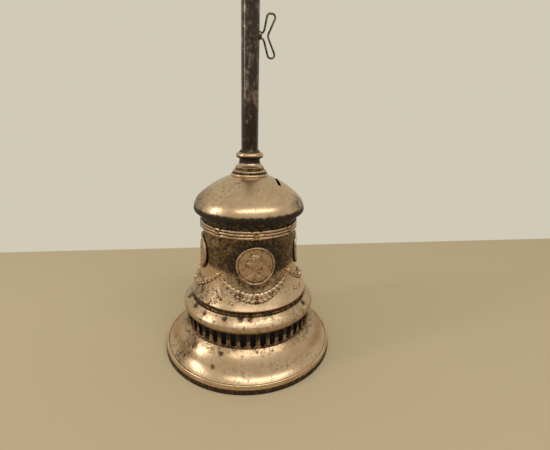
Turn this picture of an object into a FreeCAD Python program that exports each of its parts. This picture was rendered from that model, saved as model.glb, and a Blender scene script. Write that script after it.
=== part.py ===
import FreeCAD, Part
import math
import os
import re
import Sketcher

from FreeCAD import Placement, Rotation, Vector

# Hanging gas lamp body on its rim: Z runs up the stem, the front medallion faces -Y and the key points to +X

# Driving sizes in millimetres, degrees and counts
SIZES = {
    # Foot
    "rim_radius": 75.0,
    "rim_height": 7.6,
    "rim_lean": 1.0,
    "rim_bead": 0.9,
    "rib_height": 5.0,
    "rib_width": 1.4,
    "skirt_height": 18.3,
    "skirt_waist_radius": 65.2,
    "skirt_waist_rise": 7.0,
    # Vent wall
    "vent_radius": 54.6,
    "vent_cove": 1.6,
    "vent_height": 12.7,
    "vent_count": 44,
    "vent_slot_width": 4.6,
    "vent_sill": 0.8,
    "vent_head": 0.5,
    # Shoulder
    "torus_overhang": 2.7,
    "torus_tube": 5.0,
    "shoulder_height": 16.6,
    "ridge_width": 3.0,
    "groove_inset": 1.4,
    "groove_height": 3.8,
    # Bell
    "lip_radius": 50.0,
    "lip_thickness": 0.8,
    "neck_radius": 38.8,
    "flare_height": 32.0,
    "bell_height": 68.8,
    "flange_width": 6.8,
    # Reeds and ties
    "reed_pitch": 2.4,
    "reed_drop": 6.4,
    "tie_count": 8,
    "tie_ribbon": 1.2,
    "tie_width": 7.0,
    "tie_thickness": 0.4,
    # Medallions
    "medallion_radius": 15.5,
    "medallion_rise": 34.2,
    "medallion_plate": 0.8,
    "medallion_relief": 0.6,
    "medallion_rim": 1.3,
    "head_radius": 5.2,
    # Garlands
    "knob_rise": 23.8,
    "knob_radius": 2.0,
    "garland_sag": 12.2,
    "garland_gap": 1.5,
    "garland_drop": 15.0,
    "garland_tip": 1.1,
    "garland_middle": 2.9,
    "leaf_count": 16,
    "leaf_thickness": 2.0,
    "rosette_angle": 15.7,
    "berry_radius": 1.3,
    "berry_rise": 6.2,
    # Dome
    "dome_radius": 45.7,
    "dome_height": 28.9,
    "dome_edge": 2.7,
    "dome_shoulder_radius": 41.5,
    "dome_shoulder_rise": 12.5,
    "dome_top_radius": 14.5,
    "dome_slot_offset": 21.8,
    "dome_slot_length": 34.0,
    "dome_slot_width": 3.0,
    # Collar and stem
    "collar_radius": 15.1,
    "collar_neck_radius": 8.2,
    "bead_radius": 11.0,
    "collar_height": 20.4,
    "stem_radius": 6.75,
    "stem_length": 159.1,
    "stem_tail": 6.0,
    # Gas way
    "pipe_radius": 4.0,
    "pipe_bore": 2.6,
    "port_radius": 1.5,
    "screw_rise": 51.1,
    "screw_radius": 1.5,
    "key_rise": 108.1,
    "plug_radius": 2.6,
    "boss_wall": 0.5,
    "boss_reach": 7.3,
    "block_length": 16.0,
    "coupling_radius": 9.0,
    "coupling_length": 16.0,
    "nipple_radius": 6.578,
    "nipple_bore": 4.2,
    "nipple_reach": 12.0,
    # Tap key
    "key_wire": 1.5,
    "key_height": 15.4,
    "key_reach": 18.8,
    # Burner
    "mixer_radius": 7.0,
    "mixer_length": 25.0,
    "air_hole": 2.0,
    "shutter_height": 10.0,
    "shutter_arm": 22.3,
    "arm_width": 6.0,
    "carrier_thickness": 2.0,
    "carrier_bolt": 1.5,
    "carrier_bolt_inset": 3.5,
    "mixing_length": 61.0,
    "deflector_radius": 33.0,
    "deflector_drop": 46.0,
    "cup_radius": 13.0,
    "tip_length": 12.0,
    "baffle_gap": 0.3,
    "baffle_foot": 22.0,
    # Walls and fits
    "sheet_wall": 1.0,
    "fit_gap": 0.1,
    "running_gap": 0.05,
}

# Lengths that follow from the driving sizes
DERIVED = {
    "rim_inner": "rim_radius - rim_lean - 2 * rim_bead",
    "skirt_rim": "rim_inner - fit_gap",
    "skirt_edge": "rim_height - 0.6 * sheet_wall",
    "skirt_waist": "rim_height + skirt_waist_rise",
    "skirt_top": "rim_height + skirt_height",
    "skirt_top_radius": "vent_radius + vent_cove",
    "slot_foot": "skirt_top + vent_sill + vent_slot_width / 2",
    "vent_top": "skirt_top + vent_height",
    "shoulder_top": "vent_top + shoulder_height",
    "groove_floor": "shoulder_top - groove_height",
    "torus_centre": "vent_top + torus_tube * sin(62)",
    "torus_core": "vent_radius + torus_overhang - torus_tube",
    "groove_radius": "lip_radius - groove_inset",
    "ridge_radius": "groove_radius + ridge_width",
    "lip_top": "shoulder_top + lip_thickness",
    "flare_top": "lip_top + flare_height",
    "flare_run": "lip_radius - neck_radius",
    "flare_bend": "(flare_run^2 + flare_height^2) / (2 * flare_run)",
    "bell_top": "shoulder_top + bell_height",
    "neck_inner": "neck_radius - sheet_wall",
    "flange_inner_radius": "neck_inner - flange_width",
    "flange_foot": "groove_radius - 1.4 * sheet_wall",
    "baffle_radius": "min(flange_foot; vent_radius - 2 * sheet_wall) - baffle_gap",
    "reed_top": "bell_top - reed_drop",
    "reed_bottom": "reed_top - 3 * reed_pitch",
    "reed_base": "neck_radius + fit_gap + 0.4",
    "reed_crest": "reed_base + reed_pitch / 2",
    "medallion_height": "shoulder_top + medallion_rise",
    "medallion_low": "medallion_height - medallion_radius",
    "medallion_span": "2 * medallion_radius",
    "knob_height": "shoulder_top + knob_rise",
    "garland_low": "knob_height - garland_drop",
    "knob_bend": "sqrt(flare_bend^2 - (flare_top - knob_height)^2)",
    "garland_half": "(neck_radius + flare_bend - knob_bend) * sqrt(0.5) - garland_gap",
    "dome_top": "bell_top + dome_height",
    "stem_top": "dome_top + stem_length - stem_tail",
    "stem_foot": "dome_top - stem_tail",
    "stem_bore": "stem_radius - sheet_wall",
    "block_radius": "stem_bore - fit_gap",
    "screw_height": "stem_foot + screw_rise",
    "key_height_up": "stem_foot + key_rise",
    "coupling_top": "stem_top + coupling_length",
    "nipple_seat": "stem_top + coupling_length / 2",
    "nipple_tail": "nipple_radius - 0.6 * sheet_wall",
    "carrier_bolt_circle": "neck_inner - carrier_bolt_inset",
    "carrier_top": "bell_top - sheet_wall",
    "carrier_foot": "carrier_top - carrier_thickness",
    "mixer_foot": "carrier_foot - 2 * carrier_thickness",
    "mixer_top": "mixer_foot + mixer_length",
    "jet_top": "mixer_top - carrier_thickness",
    "sleeve_inner": "mixer_radius + running_gap",
    "sleeve_outer": "sleeve_inner + sheet_wall",
    "shutter_foot": "carrier_top + fit_gap",
    "air_height": "shutter_foot + shutter_height / 2",
    "arm_foot": "shutter_foot + shutter_height - sheet_wall",
    "tube_top": "carrier_foot - carrier_thickness",
    "tube_foot": "tube_top - mixing_length",
    "deflector_seat": "tube_top - deflector_drop",
    "cup_outer": "cup_radius + 1.2 * sheet_wall",
    "cup_foot": "tube_foot - 16 * sheet_wall",
    "tip_foot": "cup_foot - tip_length",
}

SIDES = {"front": 0, "right": 90, "back": 180, "left": 270}
KNOB_ANGLE = 45
# Berries of a sprig: degrees from the knob, and rise in berry radii
BERRY_ROWS = ((4.6, 0.85), (8.6, 0.2), (17.4, -0.8), (21.4, -1.05))

doc = FreeCAD.newDocument("hanging_gas_lamp")
sheet = doc.addObject("Spreadsheet::Sheet", "Sizes")
for row, (alias, size) in enumerate(SIZES.items(), 1):
    sheet.set(f"A{row}", alias.replace("_", " "))
    sheet.set(f"B{row}", str(size))
    sheet.setAlias(f"B{row}", alias)
doc.recompute()

parts = []


def bind(text):
    """Write a formula of size names as an expression on the sheet's cells."""
    def swap(match):
        word = match.group()
        if word in DERIVED:
            return "(" + bind(DERIVED[word]) + ")"
        return "Sizes." + word if word in SIZES else word
    return re.sub(r"[a-z]+(?:_[a-z]+)*", swap, text)


def number(text):
    """Work a formula of size names out to a plain number."""
    result = sheet.evalExpression(bind(text))
    return float(getattr(result, "Value", result))


def keep(item, label):
    """Name a finished sub-part and list it for writing."""
    item.Label = label
    parts.append(item)
    return item


def attach(body, role):
    """Start a sketch on one of the body's own origin planes."""
    plane = next(item for item in body.Origin.OriginFeatures if item.Role == role)
    sketch = body.newObject("Sketcher::SketchObject", body.Name + "_sketch")
    sketch.AttachmentSupport = [(plane, "")]
    sketch.MapMode = "FlatFace"
    return sketch


def hold(sketch, geometry, point, across, up):
    """Bind a sketch point's two coordinates to formulas."""
    for kind, text in (("DistanceX", across), ("DistanceY", up)):
        index = sketch.addConstraint(Sketcher.Constraint(kind, -1, 1, geometry, point, number(text)))
        sketch.setExpression(f"Constraints[{index}]", bind(text))


def arc_between(start, end, turn):
    """Arc from start to end that turns by the given degrees, to the left where positive."""
    chord = end - start
    half = math.radians(abs(turn)) / 2
    radius = chord.Length / (2 * math.sin(half))
    left = Vector(-chord.y, chord.x, 0).normalize()
    side = 1 if turn > 0 else -1
    centre = (start + end) / 2 + left * (side * radius * math.cos(half))
    first, last = (start, end) if turn > 0 else (end, start)
    first_angle = math.atan2(first.y - centre.y, first.x - centre.x)
    last_angle = math.atan2(last.y - centre.y, last.x - centre.x)
    if last_angle < first_angle:
        last_angle += 2 * math.pi
    return Part.ArcOfCircle(Part.Circle(centre, Vector(0, 0, 1), radius), first_angle, last_angle)


def hold_centre(sketch, arc, here, after, chord):
    """Bind an arc's centre along the chord's bisector, which sets the arc's turn."""
    share = f"cos(({after[2]}) / 2) / (2 * sin(({after[2]}) / 2))"
    if abs(chord.y) > abs(chord.x):
        kind = "DistanceX"
        text = f"(({here[0]}) + ({after[0]})) / 2 - (({after[1]}) - ({here[1]})) * {share}"
    else:
        kind = "DistanceY"
        text = f"(({here[1]}) + ({after[1]})) / 2 + (({after[0]}) - ({here[0]})) * {share}"
    index = sketch.addConstraint(Sketcher.Constraint(kind, -1, 1, arc, 3, number(text)))
    sketch.setExpression(f"Constraints[{index}]", bind(text))


def draw(sketch, outline):
    """Draw a closed outline of corners (across, up), or (across, up, turn) where an arc arrives."""
    ends = []
    count = len(outline)
    for index in range(count):
        here = outline[index]
        after = outline[(index + 1) % count]
        start = Vector(number(here[0]), number(here[1]), 0)
        end = Vector(number(after[0]), number(after[1]), 0)
        if len(after) == 2:
            side = sketch.addGeometry(Part.LineSegment(start, end), False)
            ends.append((side, 1, 2))
            continue
        turn = number(after[2])
        side = sketch.addGeometry(arc_between(start, end, turn), False)
        ends.append((side, 1, 2) if turn > 0 else (side, 2, 1))
        hold_centre(sketch, side, here, after, end - start)
    for index in range(count):
        side, first, last = ends[index]
        follower, follower_first, follower_last = ends[(index + 1) % count]
        sketch.addConstraint(Sketcher.Constraint("Coincident", side, last, follower, follower_first))
        hold(sketch, side, first, *outline[index][:2])


def turned(name, outline):
    """Solid of revolution about the stem's axis from a closed outline of (radius, height) corners."""
    body = doc.addObject("PartDesign::Body", name)
    sketch = attach(body, "XZ_Plane")
    draw(sketch, outline)
    spin = body.newObject("PartDesign::Revolution", name + "_spin")
    spin.Profile = sketch
    spin.ReferenceAxis = (sketch, ["V_Axis"])
    spin.Angle = 360
    doc.recompute()
    return body


def pocket(body, sketch, depth):
    """Cut a sketch to a depth on the side that its plane faces."""
    before = body.Shape.Volume
    cut = body.newObject("PartDesign::Pocket", body.Name + "_cut")
    cut.Profile = sketch
    cut.Type = "Length"
    cut.setExpression("Length", bind(depth))
    cut.Reversed = True
    doc.recompute()
    if body.Shape.Volume >= before:
        raise RuntimeError("nothing cut from " + body.Name)
    return cut


def drill(body, role, across, up, radius, depth):
    """Round hole square to an origin plane, from it to a depth."""
    sketch = attach(body, role)
    centre = Vector(number(across), number(up), 0)
    ring = sketch.addGeometry(Part.Circle(centre, Vector(0, 0, 1), number(radius)), False)
    hold(sketch, ring, 3, across, up)
    rule = sketch.addConstraint(Sketcher.Constraint("Radius", ring, number(radius)))
    sketch.setExpression(f"Constraints[{rule}]", bind(radius))
    return pocket(body, sketch, depth)


def repeat(body, feature, count):
    """Copy a feature evenly round the stem's axis."""
    axis = next(item for item in body.Origin.OriginFeatures if item.Role == "Z_Axis")
    pattern = body.newObject("PartDesign::PolarPattern", body.Name + "_pattern")
    pattern.Originals = [feature]
    pattern.Axis = (axis, [""])
    pattern.Angle = 360
    pattern.setExpression("Occurrences", bind(count))
    body.Tip = pattern
    doc.recompute()
    return pattern


def solid(kind, name, spot, turn=Rotation(), **sizes):
    """Part primitive with bound sizes and a bound place."""
    item = doc.addObject(kind, name)
    item.Placement = Placement(Vector(), turn)
    for size, text in sizes.items():
        item.setExpression(size, bind(text))
    for axis, text in zip("xyz", spot):
        item.setExpression("Placement.Base." + axis, bind(text))
    return item


def boolean(kind, name, base, tool):
    """Boolean of two objects."""
    item = doc.addObject(kind, name)
    item.Base = base
    item.Tool = tool
    return item


def group(kind, name, members):
    """Fusion or compound of several objects."""
    item = doc.addObject(kind, name)
    if kind == "Part::Compound":
        item.Links = members
    else:
        item.Shapes = members
    return item


def tube(name, outer, inner, foot, top):
    """Straight round tube about the stem's axis."""
    return turned(name, [(inner, foot), (outer, foot), (outer, top), (inner, top)])


ALONG_X = Rotation(Vector(0, 1, 0), 90)
TO_FRONT = Rotation(Vector(1, 0, 0), 90)


def foot_band():
    """Hoop that the lamp stands on, with a bead along its top and a rib inside for the skirt."""
    return turned("foot_band", [
        ("rim_inner", "0"),
        ("rim_radius", "0"),
        ("rim_radius - rim_lean", "rim_height - rim_bead"),
        ("rim_inner", "rim_height - rim_bead", "180"),
        ("rim_inner", "rib_height"),
        ("rim_inner - rib_width", "rib_height"),
        ("rim_inner - rib_width", "rib_height - sheet_wall"),
        ("rim_inner", "rib_height - sheet_wall"),
    ])


def foot_skirt():
    """Spun skirt: hollow curve above the rim, round curve below the vents, flange at the top."""
    return turned("foot_skirt", [
        ("skirt_rim - sheet_wall", "rib_height"),
        ("skirt_rim", "rib_height"),
        ("skirt_rim", "skirt_edge"),
        ("skirt_waist_radius", "skirt_waist", "-34"),
        ("skirt_top_radius", "skirt_top", "25"),
        ("vent_radius - 2 * sheet_wall", "skirt_top"),
        ("vent_radius - 2 * sheet_wall", "skirt_top - sheet_wall"),
        ("skirt_top_radius - 0.6 * sheet_wall", "skirt_top - sheet_wall"),
        ("skirt_waist_radius - 0.9 * sheet_wall", "skirt_waist - 0.45 * sheet_wall", "-25"),
        ("skirt_rim - sheet_wall", "skirt_edge - 0.8 * sheet_wall", "34"),
    ])


def slot_tool(angle):
    """Upright slot with a round lower end across the wall, at an angle from the front."""
    around = Rotation(Vector(0, 0, 1), angle)
    start = "(vent_radius - 3 * sheet_wall)"
    end = "(vent_radius + 3 * sheet_wall)"
    round_end = solid("Part::Cylinder", "slot_end",
                      (f"{start} * sin({angle})", f"-{start} * cos({angle})", "slot_foot"),
                      around * TO_FRONT, Radius="vent_slot_width / 2", Height="6 * sheet_wall")
    shaft = solid("Part::Box", "slot_shaft",
                  (f"{end} * sin({angle}) - vent_slot_width / 2 * cos({angle})",
                   f"-{end} * cos({angle}) - vent_slot_width / 2 * sin({angle})", "slot_foot"),
                  around, Length="vent_slot_width", Width="6 * sheet_wall",
                  Height="vent_top - vent_head - slot_foot")
    return group("Part::MultiFuse", "vent_slot", [round_end, shaft])


def vent_ring():
    """Upright wall with a ring of slots and a small cove at its foot."""
    body = turned("vent_wall", [
        ("vent_radius - sheet_wall", "skirt_top"),
        ("skirt_top_radius", "skirt_top"),
        ("skirt_top_radius", "skirt_top + 0.4 * vent_sill"),
        ("vent_radius", "skirt_top + 0.9 * vent_sill"),
        ("vent_radius", "vent_top"),
        ("vent_radius - sheet_wall", "vent_top"),
    ])
    count = int(SIZES["vent_count"])
    slots = [slot_tool((index + 0.5) * 360 / count) for index in range(count)]
    return boolean("Part::Cut", "vent_ring", body, group("Part::Compound", "vent_slots", slots))


def shoulder_ring():
    """Rolled shoulder over the vents, a ridge above it, and the groove under the bell's lip."""
    return turned("shoulder_ring", [
        ("vent_radius - 1.6 * sheet_wall", "vent_top"),
        ("torus_core + torus_tube * cos(62)", "vent_top"),
        ("torus_core + torus_tube * cos(32)", "torus_centre + torus_tube * sin(32)", "94"),
        ("ridge_radius", "groove_floor - 0.6 * sheet_wall", "15"),
        ("ridge_radius - 0.8 * sheet_wall", "groove_floor", "70"),
        ("groove_radius", "groove_floor"),
        ("groove_radius", "shoulder_top"),
        ("groove_radius - 1.2 * sheet_wall", "shoulder_top"),
        ("groove_radius - 1.2 * sheet_wall", "groove_floor - sheet_wall"),
        ("vent_radius - 1.6 * sheet_wall", "torus_centre"),
    ])


def bell_body():
    """Spun bell with a seat flange at each end, the upper one drilled for the carrier's screws."""
    body = turned("bell_body", [
        ("flange_foot", "shoulder_top"),
        ("lip_radius", "shoulder_top"),
        ("lip_radius", "lip_top"),
        ("neck_radius", "flare_top", "-2 * atan(flare_run / flare_height)"),
        ("neck_radius", "bell_top"),
        ("flange_inner_radius", "bell_top"),
        ("flange_inner_radius", "bell_top - sheet_wall"),
        ("neck_inner", "bell_top - sheet_wall"),
        ("neck_inner", "flare_top"),
        ("lip_radius - 1.4 * sheet_wall", "shoulder_top + sheet_wall",
         "2 * atan((flare_run - 0.4 * sheet_wall) / (flare_top - shoulder_top - sheet_wall))"),
        ("flange_foot", "shoulder_top + sheet_wall"),
    ])
    hole = drill(body, "XY_Plane", "0", "carrier_bolt_circle", "carrier_bolt + fit_gap",
                 "bell_top + 2 * sheet_wall")
    repeat(body, hole, "3")
    return body


def light_baffle():
    """Blackened tube behind the vent slots, hung on the bell's lower flange."""
    return turned("light_baffle", [
        ("baffle_radius - sheet_wall", "baffle_foot"),
        ("baffle_radius", "baffle_foot"),
        ("baffle_radius", "shoulder_top + sheet_wall"),
        ("lip_radius - 2.2 * sheet_wall", "shoulder_top + sheet_wall"),
        ("lip_radius - 2.2 * sheet_wall", "shoulder_top + 1.8 * sheet_wall"),
        ("baffle_radius - sheet_wall", "shoulder_top + 1.8 * sheet_wall"),
    ])


def reeded_band():
    """Band of three half-round reeds about the neck."""
    crests = [("reed_base", f"reed_bottom + {step} * reed_pitch", "180") for step in (1, 2, 3)]
    return turned("reeded_band", [
        ("neck_radius + fit_gap", "reed_bottom"),
        ("reed_base", "reed_bottom"),
        *crests,
        ("neck_radius + fit_gap", "reed_top"),
    ])


def reed_ties():
    """Crossed ribbons over the reeds, evenly spaced, each one solid."""
    skin = tube("tie_skin", "reed_crest + fit_gap + tie_thickness", "reed_crest + fit_gap",
                "reed_bottom", "reed_top")
    slant = math.degrees(math.atan2(number("reed_top - reed_bottom"), number("tie_width")))
    crosses = []
    for index in range(int(SIZES["tie_count"])):
        around = Rotation(Vector(0, 0, 1), index * 360 / SIZES["tie_count"])
        ribbons = []
        for lean in (slant, -slant):
            turn = around * Rotation(Vector(0, 1, 0), lean)
            ribbon = doc.addObject("Part::Box", "tie_ribbon")
            ribbon.setExpression("Length", bind("2 * tie_width"))
            ribbon.setExpression("Width", bind("3 * reed_pitch"))
            ribbon.setExpression("Height", bind("tie_ribbon"))
            corner = Vector(-number("tie_width"), -number("reed_crest + 2 * reed_pitch"),
                            -number("tie_ribbon / 2"))
            middle = Vector(0, 0, number("(reed_top + reed_bottom) / 2"))
            ribbon.Placement = Placement(middle + turn.multVec(corner), turn)
            ribbons.append(ribbon)
        crosses.append(boolean("Part::Common", "tie", group("Part::MultiFuse", "tie_cross", ribbons), skin))
    return group("Part::Compound", "reed_ties", crosses)


def bent_shell(name, lift, thickness):
    """Conical skin that leans with the bell, from a lift above its surface outwards."""
    low = "neck_radius + (flare_top - medallion_low)^2 / (2 * flare_bend) + 2 * fit_gap"
    high = "neck_radius + 2 * fit_gap"
    skins = []
    for layer in (f"{lift} + {thickness}", lift):
        skins.append(solid("Part::Cone", name + "_cone", ("0", "0", "medallion_low"),
                           Radius1=f"{low} + {layer}", Radius2=f"{high} + {layer}", Height="medallion_span"))
    return boolean("Part::Cut", name, *skins)


def copies(name, master):
    """Same piece on all four sides of the bell."""
    for side, angle in SIDES.items():
        item = group("Part::Compound", f"{name}_{side}", [master])
        item.Placement = Placement(Vector(), Rotation(Vector(0, 0, 1), angle))
        keep(item, f"{name}_{side}")


def medallion():
    """Round plate bent to the bell, with a rim and the mass of a head and shoulders in relief."""
    plate = bent_shell("plate_skin", "0", "medallion_plate")
    raised = bent_shell("rim_skin", "0", "medallion_plate + medallion_relief")
    relief = bent_shell("head_skin", "medallion_plate / 2", "medallion_plate / 2 + 1.6 * medallion_relief")
    rounds = {
        "disc": ("medallion_radius", "0"),
        "field": ("medallion_radius - medallion_rim", "0"),
        "head": ("head_radius", "0.35 * head_radius"),
        "bust": ("1.3 * head_radius", "-1.9 * head_radius"),
    }
    disc, field, head, bust = (
        solid("Part::Cylinder", name, ("0", "0", f"medallion_height + {rise}"), TO_FRONT,
              Radius=radius, Height="neck_radius + flare_run")
        for name, (radius, rise) in rounds.items())
    hoop = boolean("Part::Cut", "hoop", disc, field)
    dress = boolean("Part::Common", "dress", bust, field)
    layers = [(plate, disc), (raised, hoop), (relief, head), (relief, dress)]
    reliefs = [boolean("Part::Common", "layer", *pair) for pair in layers]
    return group("Part::MultiFuse", "medallion", reliefs)


def on_bell(angle, height, lift):
    """Place at an angle from the front, off the bell's flare by a lift square to its skin."""
    below = f"(flare_top - ({height}))"
    flat = f"sqrt(flare_bend^2 - {below}^2)"
    radius = f"(neck_radius + flare_bend - {flat} * (1 - ({lift}) / flare_bend))"
    rise = f"{height} + ({lift}) * {below} / flare_bend"
    return f"{radius} * sin({angle})", f"-{radius} * cos({angle})", rise


def swag_edge(share, way):
    """Corner of the swag's edge: a share of its half width along a hanging curve, way up or down from it."""
    girth = f"(garland_tip + (garland_middle - garland_tip) * (1 - {share}^2))"
    slope = f"(2 * garland_sag * {share} / garland_half)"
    off = f"{way} * {girth} / sqrt(1 + {slope}^2)"
    return f"garland_half * {share} - {slope} * {off}", f"garland_low + garland_sag * {share}^2 + {off}"


def garland():
    """Swag of scalloped leaves on the bell's flare, slim at both ends, with three rosettes in its middle."""
    body = doc.addObject("PartDesign::Body", "swag")
    sketch = attach(body, "XZ_Plane")
    half = int(SIZES["leaf_count"]) // 2
    shares = [round(step / half, 4) for step in range(-half, half + 1)]
    lower = [swag_edge(share, -1) for share in shares]
    upper = [swag_edge(share, 1) for share in reversed(shares)]
    edge = [lower[0] + ("120",)] + [corner + ("80",) for corner in lower[1:]]
    edge += [upper[0] + ("120",)] + [corner + ("80",) for corner in upper[1:]]
    draw(sketch, edge)
    pad = body.newObject("PartDesign::Pad", "swag_pad")
    pad.Profile = sketch
    pad.setExpression("Length", bind("lip_radius + garland_middle"))
    layers = [boolean("Part::Common", "leaves", flare_skin("leaf_skin", "leaf_thickness"), body)]
    bloom_skin = flare_skin("bloom_skin", "1.5 * leaf_thickness")
    for offset in (-1, 0, 1):
        height = f"garland_low + garland_sag * (sin({offset} * rosette_angle) * lip_radius / garland_half)^2"
        out = Rotation(Vector(0, 0, 1), offset * SIZES["rosette_angle"]) * TO_FRONT
        post = solid("Part::Cylinder", "rosette", ("0", "0", height), out,
                     Radius="0.9 * garland_middle", Height="lip_radius + garland_middle")
        layers.append(boolean("Part::Common", "bloom", bloom_skin, post))
    return group("Part::MultiFuse", "garland", layers)


def flare_skin(name, thickness):
    """Skin of even thickness on the bell's flare."""
    return turned(name, [
        ("lip_radius + running_gap", "lip_top", "2 * atan(flare_run / flare_height)"),
        (f"lip_radius + running_gap + {thickness}", "lip_top"),
        (f"neck_radius + running_gap + {thickness}", "flare_top", "-2 * atan(flare_run / flare_height)"),
        ("neck_radius + running_gap", "flare_top"),
    ])


def around_stem(name, master):
    """One object of four copies of a piece, a quarter turn apart."""
    quarters = []
    for angle in SIDES.values():
        item = group("Part::Compound", name + "_quarter", [master])
        item.Placement = Placement(Vector(), Rotation(Vector(0, 0, 1), angle))
        quarters.append(item)
    return group("Part::Compound", name, quarters)


def bell_ball(name, angle, height, radius, sink):
    """Ball with a flat foot on the bell's skin, its centre a share of its radius above the foot."""
    lean = number(f"asin((flare_top - ({height})) / flare_bend)")
    outwards = Rotation(Vector(0, 0, 1), angle) * Rotation(Vector(1, 0, 0), 90 - lean)
    spot = on_bell(str(angle), height, f"{sink} * {radius} + running_gap")
    return solid("Part::Sphere", name, spot, outwards, Radius=radius, Angle1=f"-asin({sink})")


def garland_knobs():
    """Knobs that the swags hang from, between the medallions."""
    return around_stem("garland_knobs", bell_ball("knob", KNOB_ANGLE, "knob_height", "knob_radius", 0.3))


def berry_sprigs():
    """Two pairs of berries to the right of each knob, low on the flare."""
    berries = []
    for offset, rise in BERRY_ROWS:
        height = f"shoulder_top + berry_rise + {rise} * berry_radius"
        berries.append(bell_ball("berry", KNOB_ANGLE + offset, height, "berry_radius", 0.2))
    return around_stem("berry_sprigs", group("Part::Compound", "berries", berries))


def dome_cap():
    """Mushroom dome with a rolled edge, a seat flange below and one straight slot on the key's side."""
    body = turned("dome_cap", [
        ("flange_inner_radius", "bell_top"),
        ("dome_radius - dome_edge", "bell_top"),
        ("dome_radius", "bell_top + dome_edge", "90"),
        ("dome_shoulder_radius", "bell_top + dome_shoulder_rise", "46"),
        ("dome_top_radius", "dome_top", "25"),
        ("stem_radius + fit_gap", "dome_top"),
        ("stem_radius + fit_gap", "dome_top - sheet_wall"),
        ("dome_top_radius - 0.3 * sheet_wall", "dome_top - sheet_wall"),
        ("dome_shoulder_radius - 0.7 * sheet_wall",
         "bell_top + dome_shoulder_rise - 0.7 * sheet_wall", "-25"),
        ("dome_radius - sheet_wall", "bell_top + dome_edge", "-46"),
        ("dome_radius - dome_edge", "bell_top + sheet_wall", "-90"),
        ("flange_inner_radius", "bell_top + sheet_wall"),
    ])
    sketch = attach(body, "XY_Plane")
    near = "dome_slot_offset - dome_slot_width / 2"
    far = "dome_slot_offset + dome_slot_width / 2"
    half = "(dome_slot_length - dome_slot_width) / 2"
    draw(sketch, [(near, f"-{half}"), (far, f"-{half}", "180"), (far, half), (near, half, "180")])
    pocket(body, sketch, "dome_top + sheet_wall")
    hole = drill(body, "XY_Plane", "0", "carrier_bolt_circle", "carrier_bolt + fit_gap",
                 "bell_top + 2 * sheet_wall")
    repeat(body, hole, "3")
    return body


def stem_collar():
    """Turned collar between dome and stem: base, two steps, a waist, a bead and a sloping top."""
    return turned("stem_collar", [
        ("stem_radius + fit_gap", "dome_top"),
        ("collar_radius", "dome_top"),
        ("collar_radius", "dome_top + 0.05 * collar_height"),
        ("collar_radius - 1.5 * sheet_wall", "dome_top + 0.11 * collar_height", "80"),
        ("collar_radius - 1.5 * sheet_wall", "dome_top + 0.18 * collar_height"),
        ("collar_radius - 3.6 * sheet_wall", "dome_top + 0.24 * collar_height", "60"),
        ("collar_radius - 3.7 * sheet_wall", "dome_top + 0.36 * collar_height"),
        ("collar_neck_radius", "dome_top + 0.57 * collar_height", "-50"),
        ("collar_neck_radius", "dome_top + 0.63 * collar_height"),
        ("bead_radius - 2.2 * sheet_wall", "dome_top + 0.68 * collar_height"),
        ("bead_radius - 2.2 * sheet_wall", "dome_top + 0.9 * collar_height", "180"),
        ("stem_radius + 0.4 * sheet_wall", "dome_top + collar_height"),
        ("stem_radius + fit_gap", "dome_top + collar_height"),
    ])


def stem_casing():
    """Long tube round the gas pipe, with a hole for the tap's boss and one for the regulating screw."""
    body = tube("stem_casing", "stem_radius", "stem_bore", "stem_foot", "stem_top")
    drill(body, "YZ_Plane", "0", "key_height_up", "plug_radius + running_gap + boss_wall + 2 * fit_gap",
          "2 * stem_radius")
    drill(body, "XZ_Plane", "0", "screw_height", "screw_radius + 0.7 * sheet_wall", "2 * stem_radius")
    return body


def dome_nut():
    """Six-sided nut on the casing's tail, under the dome."""
    prism = solid("Part::Prism", "nut_prism", ("0", "0", "stem_foot + sheet_wall"),
                  Circumradius="stem_radius + 5 * sheet_wall", Height="stem_tail - 2 * sheet_wall")
    hole = solid("Part::Cylinder", "nut_hole", ("0", "0", "stem_foot"),
                 Radius="stem_radius + running_gap", Height="stem_tail")
    return boolean("Part::Cut", "dome_nut", prism, hole)


def regulator_body():
    """Block in the gas way that the regulating screw turns in."""
    body = tube("regulator_body", "block_radius", "port_radius",
                "screw_height - block_length / 2", "screw_height + block_length / 2")
    drill(body, "XZ_Plane", "0", "screw_height", "screw_radius + running_gap", "2 * stem_radius")
    return body


def regulator_screw():
    """Slotted screw, its tip just clear of the gas way and its head below the casing's skin."""
    shank = solid("Part::Cylinder", "screw_shank", ("0", "-port_radius - fit_gap", "screw_height"), TO_FRONT,
                  Radius="screw_radius", Height="block_radius - port_radius - 3 * fit_gap")
    slot = solid("Part::Box", "screw_slot",
                 ("-screw_radius / 5", "-block_radius", "screw_height - 2 * screw_radius"),
                 Length="screw_radius * 2 / 5", Width="screw_radius / 2", Height="4 * screw_radius")
    return boolean("Part::Cut", "regulator_screw", shank, slot)


def tap_body():
    """Tap block in the stem, with a boss on the key's side and a flat for the plug's washer."""
    body = tube("tap_block", "block_radius", "port_radius",
                "key_height_up - block_length / 2", "key_height_up + block_length / 2")
    boss = solid("Part::Cylinder", "tap_boss", ("port_radius + sheet_wall", "0", "key_height_up"), ALONG_X,
                 Radius="plug_radius + running_gap + boss_wall",
                 Height="boss_reach - port_radius - sheet_wall")
    bore = solid("Part::Cylinder", "tap_bore", ("-stem_radius", "0", "key_height_up"), ALONG_X,
                 Radius="plug_radius + running_gap", Height="2 * stem_radius + boss_reach")
    flat = solid("Part::Box", "tap_flat",
                 ("-2 * stem_radius - plug_radius - 0.9 * sheet_wall", "-stem_radius",
                  "key_height_up - plug_radius - sheet_wall"),
                 Length="2 * stem_radius", Width="2 * stem_radius",
                 Height="2 * plug_radius + 2 * sheet_wall")
    block = group("Part::MultiFuse", "tap_block_boss", [body, boss])
    return boolean("Part::Cut", "tap_body", block, group("Part::MultiFuse", "tap_cuts", [bore, flat]))


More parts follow.
